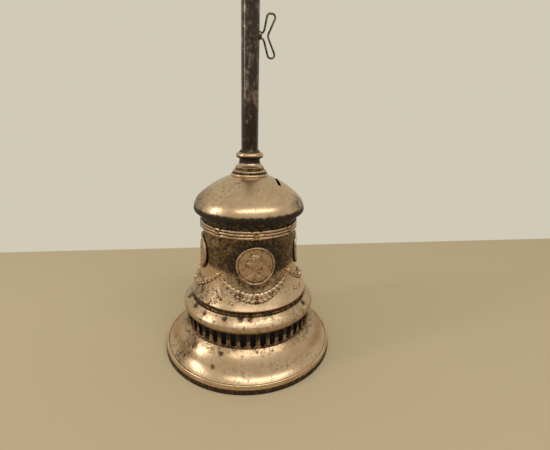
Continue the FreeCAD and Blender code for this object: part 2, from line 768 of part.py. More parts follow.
def tap_plug():
    """Turning plug with its gas port upright at rest and a screw hole in its small end."""
    rod = solid("Part::Cylinder", "plug_rod",
                ("-plug_radius - 0.9 * sheet_wall", "0", "key_height_up"), ALONG_X, Radius="plug_radius",
                Height="boss_reach + plug_radius + 1.7 * sheet_wall")
    port = solid("Part::Cylinder", "plug_port", ("0", "0", "key_height_up - 2 * plug_radius"),
                 Radius="port_radius", Height="4 * plug_radius")
    hole = solid("Part::Cylinder", "plug_hole", ("-2 * plug_radius", "0", "key_height_up"), ALONG_X,
                 Radius="plug_radius / 2", Height="2 * plug_radius - port_radius - 0.4 * sheet_wall")
    return boolean("Part::Cut", "tap_plug", rod, group("Part::MultiFuse", "plug_cuts", [port, hole]))


def tap_washer():
    """Screw with a broad head that keeps the plug in its bore."""
    head = solid("Part::Cylinder", "washer_head",
                 ("-plug_radius - 1.9 * sheet_wall", "0", "key_height_up"), ALONG_X,
                 Radius="plug_radius + 0.4 * sheet_wall", Height="sheet_wall - fit_gap")
    shank = solid("Part::Cylinder", "washer_shank",
                  ("-plug_radius - 1.5 * sheet_wall", "0", "key_height_up"), ALONG_X,
                  Radius="plug_radius / 2 - running_gap", Height="plug_radius - port_radius + sheet_wall")
    return group("Part::MultiFuse", "tap_washer", [head, shank])


def rounded_path(corners):
    """Straight runs joined by tangent arcs: corners are (point, bend radius), with plain first and last."""
    edges = []
    start = corners[0][0]
    for index in range(1, len(corners) - 1):
        point, bend = corners[index]
        back = (corners[index - 1][0] - point).normalize()
        on = (corners[index + 1][0] - point).normalize()
        half = back.getAngle(on) / 2
        reach = bend / math.tan(half)
        middle = point + (back + on).normalize() * (bend / math.sin(half) - bend)
        edges.append(Part.LineSegment(start, point + back * reach).toShape())
        edges.append(Part.Arc(point + back * reach, middle, point + on * reach).toShape())
        start = point + on * reach
    edges.append(Part.LineSegment(start, corners[-1][0]).toShape())
    return Part.Wire(edges)


def tap_key():
    """Butterfly key: one wire from the plug out, round the upper wing, through the waist and back. The upper
    wing stands a little straighter than the lower one."""
    wire = number("key_wire") / 2
    root = number("boss_reach + 0.8 * sheet_wall")
    grip = number("plug_radius") - wire
    height = number("key_height") - wire
    span = number("key_reach") - wire - root
    wings = []
    for way, inner in ((1, 0.44), (-1, 0.54)):
        wings.append([
            (Vector(root, 0, way * grip), 0),
            (Vector(root + 0.1 * span, 0, way * grip), 0.1 * span),
            (Vector(root + 0.22 * span, 0, way * 0.27 * height), 0.12 * height),
            (Vector(root + inner * span, 0, way * height), 0.235 * span),
            (Vector(root + 1.14 * span, 0, way * height), 0.235 * span),
        ])
    waist = (Vector(root + 0.46 * span, 0, 0), 0.3 * height)
    path = rounded_path(wings[0] + [waist] + wings[1][::-1])
    ring = Part.Wire(Part.Circle(Vector(root, 0, grip), path.Edges[0].tangentAt(0), wire).toShape())
    item = doc.addObject("Part::Feature", "tap_key")
    item.Shape = path.makePipeShell([ring], True, True)
    item.Placement = Placement(Vector(0, 0, number("key_height_up")), Rotation())
    return item


def gas_pipes():
    """Three lengths of pipe between the jet, the two blocks and the top of the stem."""
    reaches = {
        "gas_pipe_lower": ("jet_top", "screw_height - block_length / 2"),
        "gas_pipe_middle": ("screw_height + block_length / 2", "key_height_up - block_length / 2"),
        "gas_pipe_upper": ("key_height_up + block_length / 2", "stem_top + coupling_length / 4"),
    }
    for label, (foot, top) in reaches.items():
        keep(tube(label, "pipe_radius", "pipe_bore", foot, top), label)


def top_coupling():
    """Coupling on the top of the stem, bored for the pipe below and for the nipple above."""
    return turned("top_coupling", [
        ("pipe_radius + running_gap", "stem_top"),
        ("coupling_radius - sheet_wall", "stem_top"),
        ("coupling_radius - sheet_wall", "stem_top + 0.2 * coupling_length"),
        ("coupling_radius", "stem_top + 0.3 * coupling_length", "-60"),
        ("coupling_radius", "coupling_top - 0.1 * coupling_length"),
        ("coupling_radius - 0.1 * coupling_length", "coupling_top", "90"),
        ("nipple_tail + running_gap", "coupling_top"),
        ("nipple_tail + running_gap", "nipple_seat"),
        ("pipe_radius + running_gap", "nipple_seat"),
    ])


def threaded_nipple():
    """Thread that the lamp hangs by, drawn at its major diameter, with a turned-down end in the coupling."""
    return turned("threaded_nipple", [
        ("nipple_bore", "nipple_seat"),
        ("nipple_tail", "nipple_seat"),
        ("nipple_tail", "coupling_top"),
        ("nipple_radius", "coupling_top"),
        ("nipple_radius", "coupling_top + nipple_reach"),
        ("nipple_bore", "coupling_top + nipple_reach"),
    ])


def gas_nozzle():
    """Cone with a fine hole, on the lower end of the gas pipe."""
    return turned("gas_nozzle", [
        ("port_radius / 3", "jet_top - 2 * pipe_radius"),
        ("port_radius", "jet_top - 2 * pipe_radius"),
        ("pipe_radius", "jet_top - pipe_radius"),
        ("pipe_radius", "jet_top"),
        ("port_radius", "jet_top"),
        ("port_radius", "jet_top - pipe_radius"),
        ("port_radius / 3", "jet_top - 1.5 * pipe_radius"),
    ])


def mixer_body():
    """Mixing chamber about the nozzle, with four air holes and the flange that the carrier lies on."""
    body = turned("mixer_body", [
        ("mixer_radius - sheet_wall", "mixer_foot"),
        ("mixer_radius", "mixer_foot"),
        ("mixer_radius", "tube_top"),
        ("mixer_radius + 3 * sheet_wall", "tube_top"),
        ("mixer_radius + 3 * sheet_wall", "carrier_foot"),
        ("mixer_radius", "carrier_foot"),
        ("mixer_radius", "mixer_top"),
        ("pipe_radius + running_gap", "mixer_top"),
        ("pipe_radius + running_gap", "jet_top"),
        ("mixer_radius - sheet_wall", "jet_top"),
    ])
    repeat(body, drill(body, "XZ_Plane", "0", "air_height", "air_hole", "2 * mixer_radius"), "4")
    return body


def air_shutter():
    """Sleeve that turns over the air holes, with an arm that ends below the dome's slot."""
    body = turned("shutter_sleeve", [
        ("sleeve_inner", "shutter_foot"),
        ("sleeve_outer", "shutter_foot"),
        ("sleeve_outer", "shutter_foot + shutter_height"),
        ("sleeve_inner", "shutter_foot + shutter_height"),
    ])
    repeat(body, drill(body, "XZ_Plane", "0", "air_height", "air_hole", "2 * mixer_radius"), "4")
    arm = solid("Part::Box", "shutter_arm",
                ("sleeve_outer - sheet_wall / 2", "-arm_width / 4", "arm_foot"),
                Length="shutter_arm - sleeve_outer + sheet_wall / 2", Width="arm_width / 2",
                Height="sheet_wall")
    finger = solid("Part::Box", "shutter_finger",
                   ("shutter_arm - sheet_wall", "-arm_width / 4", "arm_foot"),
                   Length="sheet_wall", Width="arm_width / 2", Height="shutter_height")
    return group("Part::MultiFuse", "air_shutter", [body, arm, finger])


def carrier_spots():
    """Angles of the carrier's three arms, with the first to the back."""
    return [90, 210, 330]


def burner_carrier():
    """Hub with three arms under the bell's upper flange, drilled for the screws."""
    hub = tube("carrier_hub", "mixer_radius + 5 * sheet_wall", "sleeve_inner", "carrier_foot", "carrier_top")
    pieces = [hub]
    holes = []
    for angle in carrier_spots():
        around = Rotation(Vector(0, 0, 1), angle)
        arm = solid("Part::Box", "carrier_arm", ("0", "0", "carrier_foot"), around,
                    Length="neck_inner - 0.8 * sheet_wall", Width="arm_width", Height="carrier_thickness")
        shift = ("arm_width / 2 * sin(%d)" % angle, "-arm_width / 2 * cos(%d)" % angle)
        for axis, text in zip("xy", shift):
            arm.setExpression("Placement.Base." + axis, bind(text))
        pieces.append(arm)
        holes.append(solid("Part::Cylinder", "carrier_hole",
                           (f"carrier_bolt_circle * cos({angle})", f"carrier_bolt_circle * sin({angle})",
                            "carrier_foot - carrier_thickness"),
                           Radius="carrier_bolt + fit_gap", Height="3 * carrier_thickness"))
    holes.append(solid("Part::Cylinder", "carrier_bore", ("0", "0", "carrier_foot - carrier_thickness"),
                       Radius="sleeve_inner", Height="3 * carrier_thickness"))
    spider = group("Part::MultiFuse", "carrier_spider", pieces)
    return boolean("Part::Cut", "burner_carrier", spider, group("Part::MultiFuse", "carrier_holes", holes))


def carrier_screws():
    """Three screws through dome, bell and carrier, heads up inside the dome."""
    screws = []
    for angle in carrier_spots():
        spot = (f"carrier_bolt_circle * cos({angle})", f"carrier_bolt_circle * sin({angle})")
        shank = solid("Part::Cylinder", "bolt_shank", (*spot, "carrier_foot - sheet_wall"),
                      Radius="carrier_bolt", Height="carrier_thickness + 3.5 * sheet_wall")
        head = solid("Part::Cylinder", "bolt_head", (*spot, "bell_top + sheet_wall"),
                     Radius="1.8 * carrier_bolt", Height="carrier_bolt")
        screws.append(group("Part::MultiFuse", "bolt", [shank, head]))
    return group("Part::Compound", "carrier_screws", screws)


def mixing_tube():
    """Tube from the mixer down to the burner, with a collar for the heat deflector."""
    return turned("mixing_tube", [
        ("sleeve_inner", "tube_foot"),
        ("sleeve_outer", "tube_foot"),
        ("sleeve_outer", "deflector_seat - sheet_wall"),
        ("sleeve_outer + 2 * sheet_wall", "deflector_seat - sheet_wall"),
        ("sleeve_outer + 2 * sheet_wall", "deflector_seat"),
        ("sleeve_outer", "deflector_seat"),
        ("sleeve_outer", "tube_top"),
        ("sleeve_inner", "tube_top"),
    ])


def heat_deflector():
    """Sloping plate over the flame, lying on the mixing tube's collar."""
    return turned("heat_deflector", [
        ("sleeve_outer + running_gap", "deflector_seat"),
        ("sleeve_outer + 4 * sheet_wall", "deflector_seat"),
        ("deflector_radius", "deflector_seat - 4 * sheet_wall"),
        ("deflector_radius", "deflector_seat - 3 * sheet_wall"),
        ("sleeve_outer + 4 * sheet_wall", "deflector_seat + sheet_wall"),
        ("sleeve_outer + running_gap", "deflector_seat + sheet_wall"),
    ])


def burner_cup():
    """Cup on the mixing tube's lower end."""
    return turned("burner_cup", [
        ("cup_radius", "cup_foot"),
        ("cup_outer", "cup_foot"),
        ("cup_outer", "cup_foot + 8.6 * sheet_wall"),
        ("sleeve_outer + 1.2 * sheet_wall", "tube_foot - 1.5 * sheet_wall"),
        ("sleeve_outer + 1.2 * sheet_wall", "tube_foot + 8 * sheet_wall"),
        ("sleeve_outer + running_gap", "tube_foot + 8 * sheet_wall"),
        ("sleeve_outer + running_gap", "tube_foot"),
        ("sleeve_inner - 0.4 * sheet_wall", "tube_foot"),
        ("sleeve_inner - 0.4 * sheet_wall", "tube_foot - 2 * sheet_wall"),
        ("cup_radius", "cup_foot + 8 * sheet_wall"),
    ])


def ceramic_tip():
    """Fireclay tip with a central bore, its flange under the cup's edge."""
    return turned("ceramic_tip", [
        ("0.35 * cup_radius", "tip_foot"),
        ("0.65 * cup_radius", "tip_foot"),
        ("0.92 * cup_radius", "tip_foot + 0.5 * tip_length", "30"),
        ("cup_outer + 0.8 * sheet_wall", "tip_foot + 0.67 * tip_length"),
        ("cup_outer + 0.8 * sheet_wall", "cup_foot"),
        ("cup_radius - fit_gap", "cup_foot"),
        ("cup_radius - fit_gap", "cup_foot + 7 * sheet_wall"),
        ("0.35 * cup_radius", "cup_foot + 7 * sheet_wall"),
    ])


def check(item):
    """Stop where an object failed to build."""
    if "Invalid" in item.State or "Error" in item.State:
        raise RuntimeError("failed object: " + item.Label)


MAKERS = (
    foot_band, foot_skirt, vent_ring, shoulder_ring, bell_body, light_baffle, reeded_band, reed_ties,
    garland_knobs, berry_sprigs, dome_cap, stem_collar, stem_casing, dome_nut, regulator_body,
    regulator_screw, tap_body, tap_plug, tap_washer, tap_key, top_coupling, threaded_nipple, gas_nozzle,
    mixer_body, air_shutter, burner_carrier, carrier_screws, mixing_tube, heat_deflector, burner_cup,
    ceramic_tip,
)
for make in MAKERS:
    keep(make(), make.__name__)
gas_pipes()
copies("medallion", medallion())
copies("garland", garland())

doc.recompute()
for item in doc.Objects:
    check(item)
for item in parts:
    if item.Shape.isNull() or not item.Shape.isValid():
        raise RuntimeError("bad shape: " + item.Label)

os.makedirs("parts", exist_ok=True)
for item in parts:
    item.Shape.exportStep(f"parts/{item.Label}.step")
    print(item.Label, len(item.Shape.Solids), round(item.Shape.Volume, 1))
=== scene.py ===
import math

import bmesh
import bpy
import numpy as np
from mathutils import Matrix, Vector


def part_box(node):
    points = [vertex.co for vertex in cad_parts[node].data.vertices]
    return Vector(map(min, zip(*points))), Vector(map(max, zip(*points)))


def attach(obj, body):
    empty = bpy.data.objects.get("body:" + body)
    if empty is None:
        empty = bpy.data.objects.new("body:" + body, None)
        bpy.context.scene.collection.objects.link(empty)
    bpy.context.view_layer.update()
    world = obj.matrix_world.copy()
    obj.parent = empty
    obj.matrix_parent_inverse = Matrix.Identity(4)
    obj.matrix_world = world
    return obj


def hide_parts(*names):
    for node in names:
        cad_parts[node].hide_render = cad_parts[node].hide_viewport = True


bl_info = {
    "name": "Hanging gas lamp body",
    "version": (1, 0, 0),
    "blender": (4, 5, 0),
    "location": "View3D > Sidebar > Gas lamp",
    "description": "Roundels, swags, pipe thread and worn finishes for a hanging gas lamp body",
    "category": "Object",
}

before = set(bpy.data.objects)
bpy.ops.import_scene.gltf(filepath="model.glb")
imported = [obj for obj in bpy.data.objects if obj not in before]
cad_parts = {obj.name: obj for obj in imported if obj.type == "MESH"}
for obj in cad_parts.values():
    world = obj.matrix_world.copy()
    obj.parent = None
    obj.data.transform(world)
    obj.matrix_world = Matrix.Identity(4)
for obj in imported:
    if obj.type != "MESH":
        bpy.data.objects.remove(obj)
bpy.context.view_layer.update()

MM = 0.001
TAU = 2 * math.pi
SIDES = {"front": 0.0, "right": 90.0, "back": 180.0, "left": 270.0}

# Levels and radii read from the solids, in metres
LIP_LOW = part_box("bell_body")[0][2]
BELL_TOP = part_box("bell_body")[1][2]
LIP_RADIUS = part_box("bell_body")[1][0]
ROUNDEL_LOW, ROUNDEL_HIGH = (corner[2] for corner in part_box("medallion_front"))
ROUNDEL_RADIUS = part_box("medallion_front")[1][0]
DOME_LOW, DOME_TOP = (corner[2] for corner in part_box("dome_cap"))
SKIRT_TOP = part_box("foot_skirt")[1][2]
REED_LOW, REED_HIGH = (corner[2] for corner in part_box("reeded_band"))
VENT_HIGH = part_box("vent_ring")[1][2]
BAND_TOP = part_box("foot_band")[1][2]
NIPPLE_LOW, NIPPLE_TOP = (corner[2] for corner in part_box("threaded_nipple"))
NIPPLE_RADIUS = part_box("threaded_nipple")[1][0]
COUPLING_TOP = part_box("top_coupling")[1][2]
KNOB_HEIGHT = sum(corner[2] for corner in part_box("garland_knobs")) / 2

# Points closer than this are one point
MERGE_DISTANCE = 0.0001 * MM
# Lifts over the bell's skin: the least of a front, of a back, and of a rosette's back
FRONT_LIFT = 0.1 * MM
BACK_LIFT = 0.05 * MM
ROSETTE_BACK_LIFT = 0.04 * MM
# Painted shade on the backs of a roundel and of leaves, in shares like the depth in hollows
ROUNDEL_BACK_HOLLOW = 0.3
BACK_HOLLOW = 0.8


def size_property(name, default, description):
    """Property for a size in metres."""
    return bpy.props.FloatProperty(name=name, description=description, default=default, min=0.0,
                                   unit="LENGTH", precision=5)


def share_property(name, default, description):
    """Property for a share of another size."""
    return bpy.props.FloatProperty(name=name, description=description, default=default, min=0.0)


def colour_property(name, default, description):
    """Property for a colour."""
    return bpy.props.FloatVectorProperty(name=name, description=description, default=default, size=3,
                                         min=0.0, max=1.0, subtype="COLOR")


class LampSizes(bpy.types.PropertyGroup):
    """Sizes of the ornaments and the thread"""
    neck_radius: size_property("Neck radius", 38.8 * MM, "Bell's radius above the flare")
    lip_thickness: size_property("Lip thickness", 0.8 * MM, "Upright edge of the bell's lip")
    flare_height: size_property("Flare height", 32.0 * MM, "Height of the bell's flare above the lip")
    roundel_gap: size_property("Roundel gap", 0.2 * MM, "Gap between the bell and a roundel's back")
    roundel_plate: size_property("Roundel plate", 0.8 * MM, "Thickness of a roundel's field")
    roundel_rim: size_property("Roundel rim", 0.85 * MM, "Height of a roundel's rim over its field")
    head_relief: size_property("Head relief", 1.35 * MM, "Height of the head over a roundel's field")
    swag_drop: size_property("Swag drop", 15.0 * MM, "Fall of a swag's middle below its knobs")
    swag_width: size_property("Swag width", 4.3 * MM, "Half width of a swag in its middle")
    swag_tip: size_property("Swag tip", 1.0 * MM, "Half width of a swag at its knobs")
    leaf_length: size_property("Leaf length", 6.4 * MM, "Length of the largest leaves of a swag")
    leaf_lift: size_property("Leaf lift", 2.3 * MM, "Height of the largest leaves over the bell")
    rosette_radius: size_property("Rosette radius", 3.0 * MM, "Radius of a swag's largest rosette")
    rosette_lift: share_property("Rosette lift", 0.98, "Height of a rosette over the bell, in its radii")
    thread_pitch: size_property("Thread pitch", 1.337 * MM, "Pitch of the pipe thread")
    thread_depth: size_property("Thread depth", 0.82 * MM, "Depth of the pipe thread")
    pipe_bore: size_property("Pipe bore", 4.2 * MM, "Radius of the nipple's bore")


class LampColours(bpy.types.PropertyGroup):
    """Colours of the finishes and the stage"""
    silver: colour_property("Silver plate", (0.76, 0.585, 0.41), "Plate where it is rubbed bright")
    bronze: colour_property("Worn plate", (0.56, 0.39, 0.245), "Plate where the brass shows through")
    # Tarnish and patina also colour the painted shade of the worn plates
    tarnish: colour_property("Tarnish", (0.16, 0.100, 0.052), "Brown film of tarnish")
    patina: colour_property("Patina", (0.022, 0.015, 0.010), "Black tarnish in hollows and specks")
    stem_brown: colour_property("Stem brown", (0.024, 0.014, 0.010), "Dark tarnish of the stem")
    stem_grey: colour_property("Stem grey", (0.23, 0.165, 0.125), "Rubbed patches of the stem")
    brass: colour_property("Brass", (0.42, 0.31, 0.16), "Plain brass of the gas way")
    black: colour_property("Black", (0.02, 0.018, 0.016), "Heat-proof black")
    wire: colour_property("Key wire", (0.20, 0.165, 0.11), "Rubbed wire of the key")
    steel: colour_property("Steel", (0.42, 0.40, 0.38), "Screws")
    clay: colour_property("Fireclay", (0.76, 0.71, 0.62), "Fired clay")
    soot: colour_property("Soot", (0.10, 0.085, 0.07), "Soot on the fireclay")
    floor: colour_property("Floor", (0.50, 0.41, 0.285), "Plain pale floor")
    backdrop: colour_property("Backdrop", (0.63, 0.59, 0.47), "Plain pale light all round")


def put_mesh(name, points, quads, hollows, finish, replaced):
    """Object from points, quads and each point's depth in hollows, which the worn plates paint as patina and
    painted shade, with coinciding points merged and faces turned outwards. It rides on the lamp in place of a
    CAD node."""
    mesh = bpy.data.meshes.new(name)
    mesh.from_pydata(points.reshape(-1, 3), [], quads.reshape(-1, 4))
    depth = mesh.attributes.new("hollow_shade_and_patina", "FLOAT", "POINT")
    depth.data.foreach_set("value", hollows.ravel().astype(np.float32))
    skin = bmesh.new()
    skin.from_mesh(mesh)
    bmesh.ops.remove_doubles(skin, verts=skin.verts, dist=MERGE_DISTANCE)
    bmesh.ops.recalc_face_normals(skin, faces=skin.faces)
    skin.to_mesh(mesh)
    skin.free()
    mesh.shade_smooth()
    mesh.materials.append(finish)
    item = bpy.data.objects.new(name, mesh)
    bpy.context.scene.collection.objects.link(item)
    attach(item, "lamp")
    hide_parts(replaced)


def grid_quads(rows, columns, wrap_rows=False, wrap_columns=False):
    """Quads of a rows by columns grid of points, closed on itself where asked."""
    row = np.arange(rows if wrap_rows else rows - 1)
    column = np.arange(columns if wrap_columns else columns - 1)
    a, b = np.meshgrid(row, column, indexing="ij")
    a_next = (a + 1) % rows
    b_next = (b + 1) % columns
    corners = [a * columns + b, a * columns + b_next, a_next * columns + b_next, a_next * columns + b]
    return np.stack(corners, axis=-1).reshape(-1, 4)


def slab(front, back):
    """Closed skin from a front and a back grid of the same size: the two grids and the strip between them."""
    rows, columns = front.shape[:2]
    count = rows * columns
    faces = grid_quads(rows, columns)
    index = np.arange(count).reshape(rows, columns)
    edge = np.concatenate([index[0, :-1], index[:-1, -1], index[-1, :0:-1], index[:0:-1, 0]])
    follow = np.roll(edge, -1)
    strip = np.stack([follow, edge, edge + count, follow + count], axis=-1)
    points = np.concatenate([front.reshape(-1, 3), back.reshape(-1, 3)])
    return points, np.concatenate([faces, faces[:, ::-1] + count, strip])


def gather(pieces):
    """One set of points, quads and hollows from several."""
    starts = np.cumsum([0] + [len(points) for points, quads, hollows in pieces])
    points = np.concatenate([piece[0] for piece in pieces])
    quads = np.concatenate([piece[1] + start for piece, start in zip(pieces, starts)])
    hollows = np.concatenate([piece[2].ravel() for piece in pieces])
    return points, quads, hollows


def smoothed(values, rounds):
    """Grid averaged with its four neighbours, over and over."""
    for _ in range(rounds):
        padded = np.pad(values, 1, mode="edge")
        values = (padded[2:, 1:-1] + padded[:-2, 1:-1] + padded[1:-1, 2:] + padded[1:-1, :-2]) / 4
    return values


def turn_about_stem(points, degrees):
    """Points turned about the stem's axis."""
    angle = math.radians(degrees)
    cosine, sine = math.cos(angle), math.sin(angle)
    turn = np.array([[cosine, -sine, 0], [sine, cosine, 0], [0, 0, 1]])
    return points @ turn.T


def flare_arc(sizes):
    """Top of the bell's flare, and its arc's radius (run^2 + height^2) / (2 run), tangent to the neck."""
    top = LIP_LOW + sizes.lip_thickness + sizes.flare_height
    run = LIP_RADIUS - sizes.neck_radius
    return top, (run ** 2 + sizes.flare_height ** 2) / (2 * run)


def bell_point(sizes, across, height, lift):
    """Point on the bell's front: an arc length across, a height, and a lift square to the skin.
    The skin is r = neck + bend - sqrt(bend^2 - (flare top - z)^2)."""
    flare_top, bend = flare_arc(sizes)
    below = np.clip(flare_top - height, 0, sizes.flare_height)
    flat = np.sqrt(bend ** 2 - below ** 2)
    radius = sizes.neck_radius + bend - flat
    angle = across / radius
    out = radius + lift * flat / bend
    up = height + lift * below / bend
    return np.stack([out * np.sin(angle), -out * np.cos(angle), up], axis=-1)


def ease(edge_low, edge_high, value):
    """Smooth step from 0 to 1 between two edges."""
    share = np.clip((value - edge_low) / (edge_high - edge_low), 0, 1)
    return share * share * (3 - 2 * share)


# Plain drawing-book head and shoulders in profile, in shares of the roundel's radius
HEAD_OUTLINE = np.array([
    (-0.02, 0.62), (0.18, 0.56), (0.28, 0.44), (0.31, 0.28), (0.29, 0.22), (0.39, 0.07), (0.31, 0.05),
    (0.335, 0.01), (0.30, -0.02), (0.325, -0.05), (0.28, -0.08), (0.31, -0.14), (0.24, -0.19), (0.11, -0.17),
    (0.07, -0.28), (0.10, -0.42), (0.30, -0.52), (0.52, -0.64), (0.30, -0.80), (-0.04, -0.84), (-0.36, -0.78),
    (-0.54, -0.60), (-0.36, -0.46), (-0.20, -0.36), (-0.17, -0.20), (-0.22, -0.08), (-0.38, -0.08),
    (-0.50, 0.06), (-0.45, 0.22), (-0.40, 0.28), (-0.40, 0.42), (-0.30, 0.56), (-0.16, 0.62),
])
HAIRLINE_HEIGHTS = (-0.20, -0.02, 0.12, 0.28, 0.42, 0.52, 0.64)
HAIRLINE_PLACES = (-0.16, -0.12, -0.02, 0.10, 0.17, 0.24, 0.30)
# Eye and cheek as (across, up, half width, half height), ear as (across, up, radius, half width)
EYE = (0.20, 0.20, 0.045, 0.022)
CHEEK = (0.13, 0.05, 0.10, 0.10)
EAR = (-0.02, 0.10, 0.05, 0.018)
EAR_FLATNESS = 0.7
# Hair band as (height at the middle, slope, half width)
HAIR_BAND = (0.42, 0.12, 0.03)


def rounded(outline, rounds=2):
    """Closed outline with its corners cut a quarter of the way along both sides, over and over."""
    for _ in range(rounds):
        after = np.roll(outline, -1, axis=0)
        pair = [0.75 * outline + 0.25 * after, 0.25 * outline + 0.75 * after]
        outline = np.stack(pair, axis=1).reshape(-1, 2)
    return outline


def swell(u, v, across, up, half_width, half_height):
    """Round bump exp(-x^2 - y^2) in half widths and half heights about a place."""
    return np.exp(-((u - across) / half_width) ** 2 - ((v - up) / half_height) ** 2)


def depth_inside(u, v, outline):
    """Distance to a closed outline, above zero inside it: nearest point of its sides, inside by crossings."""
    start = outline
    side = np.roll(outline, -1, axis=0) - start
    du, dv = u[..., None] - start[:, 0], v[..., None] - start[:, 1]
    share = np.clip((du * side[:, 0] + dv * side[:, 1]) / (side ** 2).sum(axis=1), 0, 1)
    away = np.hypot(du - share * side[:, 0], dv - share * side[:, 1]).min(axis=-1)
    straddles = (start[:, 1] > v[..., None]) != (start[:, 1] + side[:, 1] > v[..., None])
    rise = np.where(side[:, 1] == 0, 1.0, side[:, 1])
    crossings = straddles & (du < dv * side[:, 0] / rise)
    return np.where(crossings.sum(axis=-1) % 2 == 1, away, -away)


def head_relief(u, v):
    """Head in relief, 0 to about 1: a pillow 0.5 (1 - exp(-d/0.03)) + 0.4 (1 - exp(-d/0.16)) of the depth d
    in the outline, with waved hair, a hair band, an eye, a cheek, an ear and the folds of a dress."""
    depth = np.clip(depth_inside(u, v, rounded(HEAD_OUTLINE)), 0, None)
    mass = 0.5 * (1 - np.exp(-depth / 0.03)) + 0.4 * (1 - np.exp(-depth / 0.16))
    on_head = ease(0.0, 0.04, depth)
    hairline = np.interp(v, HAIRLINE_HEIGHTS, HAIRLINE_PLACES)
    hair = ease(0.02, -0.03, u - hairline) * ease(-0.16, -0.08, v) * on_head
    waves = 0.14 + 0.07 * np.sin(46 * (v + 0.35 * u) + 2.5 * np.sin(9 * u))
    band_height, band_slope, band_half = HAIR_BAND
    band = np.exp(-((v - band_height - band_slope * u) / band_half) ** 2) * hair
    ear_across, ear_up, ear_radius, ear_half = EAR
    ear_reach = np.hypot(u - ear_across, EAR_FLATNESS * (v - ear_up))
    ear = np.exp(-((ear_reach - ear_radius) / ear_half) ** 2)
    folds = 0.06 * np.sin(30 * u + 8 * v) * ease(-0.50, -0.60, v) * on_head
    features = 0.10 * ear + 0.06 * swell(u, v, *CHEEK) - 0.10 * swell(u, v, *EYE)
    return mass + hair * waves + 0.16 * band + features + folds


# Roundel in shares of its radius: the rim's middle and half width, and reaches of field, head, dish and edge
RIM_MIDDLE = 0.945
RIM_HALF_WIDTH = 0.055
FIELD_REACH = 0.90
HEAD_REACH = 0.84
DISH_REACH = 0.75
EDGE_REACH = 0.985
# Depth of the dish and drop of the edge, in plates
DISH_DEPTH = 0.3
EDGE_DROP = 0.5


def roundel_surface(sizes, steps=180):
    """Roundel on the front of the bell. A square grid is drawn to a disc by u = x sqrt(1 - y^2/2). The disc
    is bent to a cone that leans with the bell, and lifted by the plate and the higher of rim and head."""
    line = np.linspace(-1, 1, steps)
    x, y = np.meshgrid(line, line, indexing="ij")
    u = x * np.sqrt(1 - y ** 2 / 2)
    v = y * np.sqrt(1 - x ** 2 / 2)
    reach = np.sqrt(u ** 2 + v ** 2)
    across_rim = (reach - RIM_MIDDLE) / RIM_HALF_WIDTH
    rim = sizes.roundel_rim * np.sqrt(np.clip(1 - across_rim ** 2, 0, 1))
    dish = -DISH_DEPTH * sizes.roundel_plate * ease(FIELD_REACH, DISH_REACH, reach)
    relief = sizes.head_relief * head_relief(u, v) * ease(FIELD_REACH, HEAD_REACH, reach)
    lift = sizes.roundel_plate + np.maximum(rim, dish + relief)
    lift = lift - EDGE_DROP * sizes.roundel_plate * ease(EDGE_REACH, 1.0, reach)
    # Patina and painted shade in the sunken parts about the head and inside the rim, faded out at the
    # roundel's edge
    sunk = (smoothed(lift, 22) - lift) / sizes.head_relief
    hollows = 0.8 * ease(0.01, 0.24, sunk) * ease(0.98, 0.95, reach)
    middle = (ROUNDEL_LOW + ROUNDEL_HIGH) / 2
    flare_top, bend = flare_arc(sizes)
    lean = (flare_top - ROUNDEL_LOW) ** 2 / (2 * bend)
    base = sizes.neck_radius + sizes.roundel_gap + lean * (1 - v) / 2

    def placed(rise):
        radius = base + rise
        across = ROUNDEL_RADIUS * u
        depth = np.sqrt(radius ** 2 - across ** 2)
        return np.stack([across, -depth, middle + ROUNDEL_RADIUS * v], axis=-1)

    return *slab(placed(lift), placed(0 * lift)), np.stack([hollows, 0 * hollows + ROUNDEL_BACK_HOLLOW])


def leaf_surface(sizes, spot, angle, size, rows=13, columns=7):
    """Pointed leaf on the bell: half width 0.46 (1 - p^2)^0.8 + 0.02 in half lengths, height
    sqrt(1 - p^2) sqrt(1 - 0.9 q^2) in lifts, with a groove along its middle."""
    p, q = np.meshgrid(np.linspace(-1, 1, rows), np.linspace(-1, 1, columns), indexing="ij")
    half_length = size * sizes.leaf_length / 2
    taper = np.clip(1 - p ** 2, 0, 1)
    width = 0.46 * half_length * taper ** 0.8 + 0.02 * half_length
    along, aside = p * half_length, q * width
    height = size * sizes.leaf_lift * np.sqrt(taper) * np.sqrt(np.clip(1 - 0.9 * q ** 2, 0, 1))
    height = height * (1 - 0.22 * np.exp(-(q / 0.16) ** 2)) + FRONT_LIFT
    across = spot[0] + along * math.cos(angle) - aside * math.sin(angle)
    up = spot[1] + along * math.sin(angle) + aside * math.cos(angle)
    skin = slab(bell_point(sizes, across, up, height), bell_point(sizes, across, up, 0 * height + BACK_LIFT))
    # Patina and painted shade where the leaf sinks towards the bell
    hollows = 0.7 * ease(0.75, 0.15, height / (size * sizes.leaf_lift))
    return *skin, np.stack([hollows, 0 * hollows + BACK_HOLLOW])


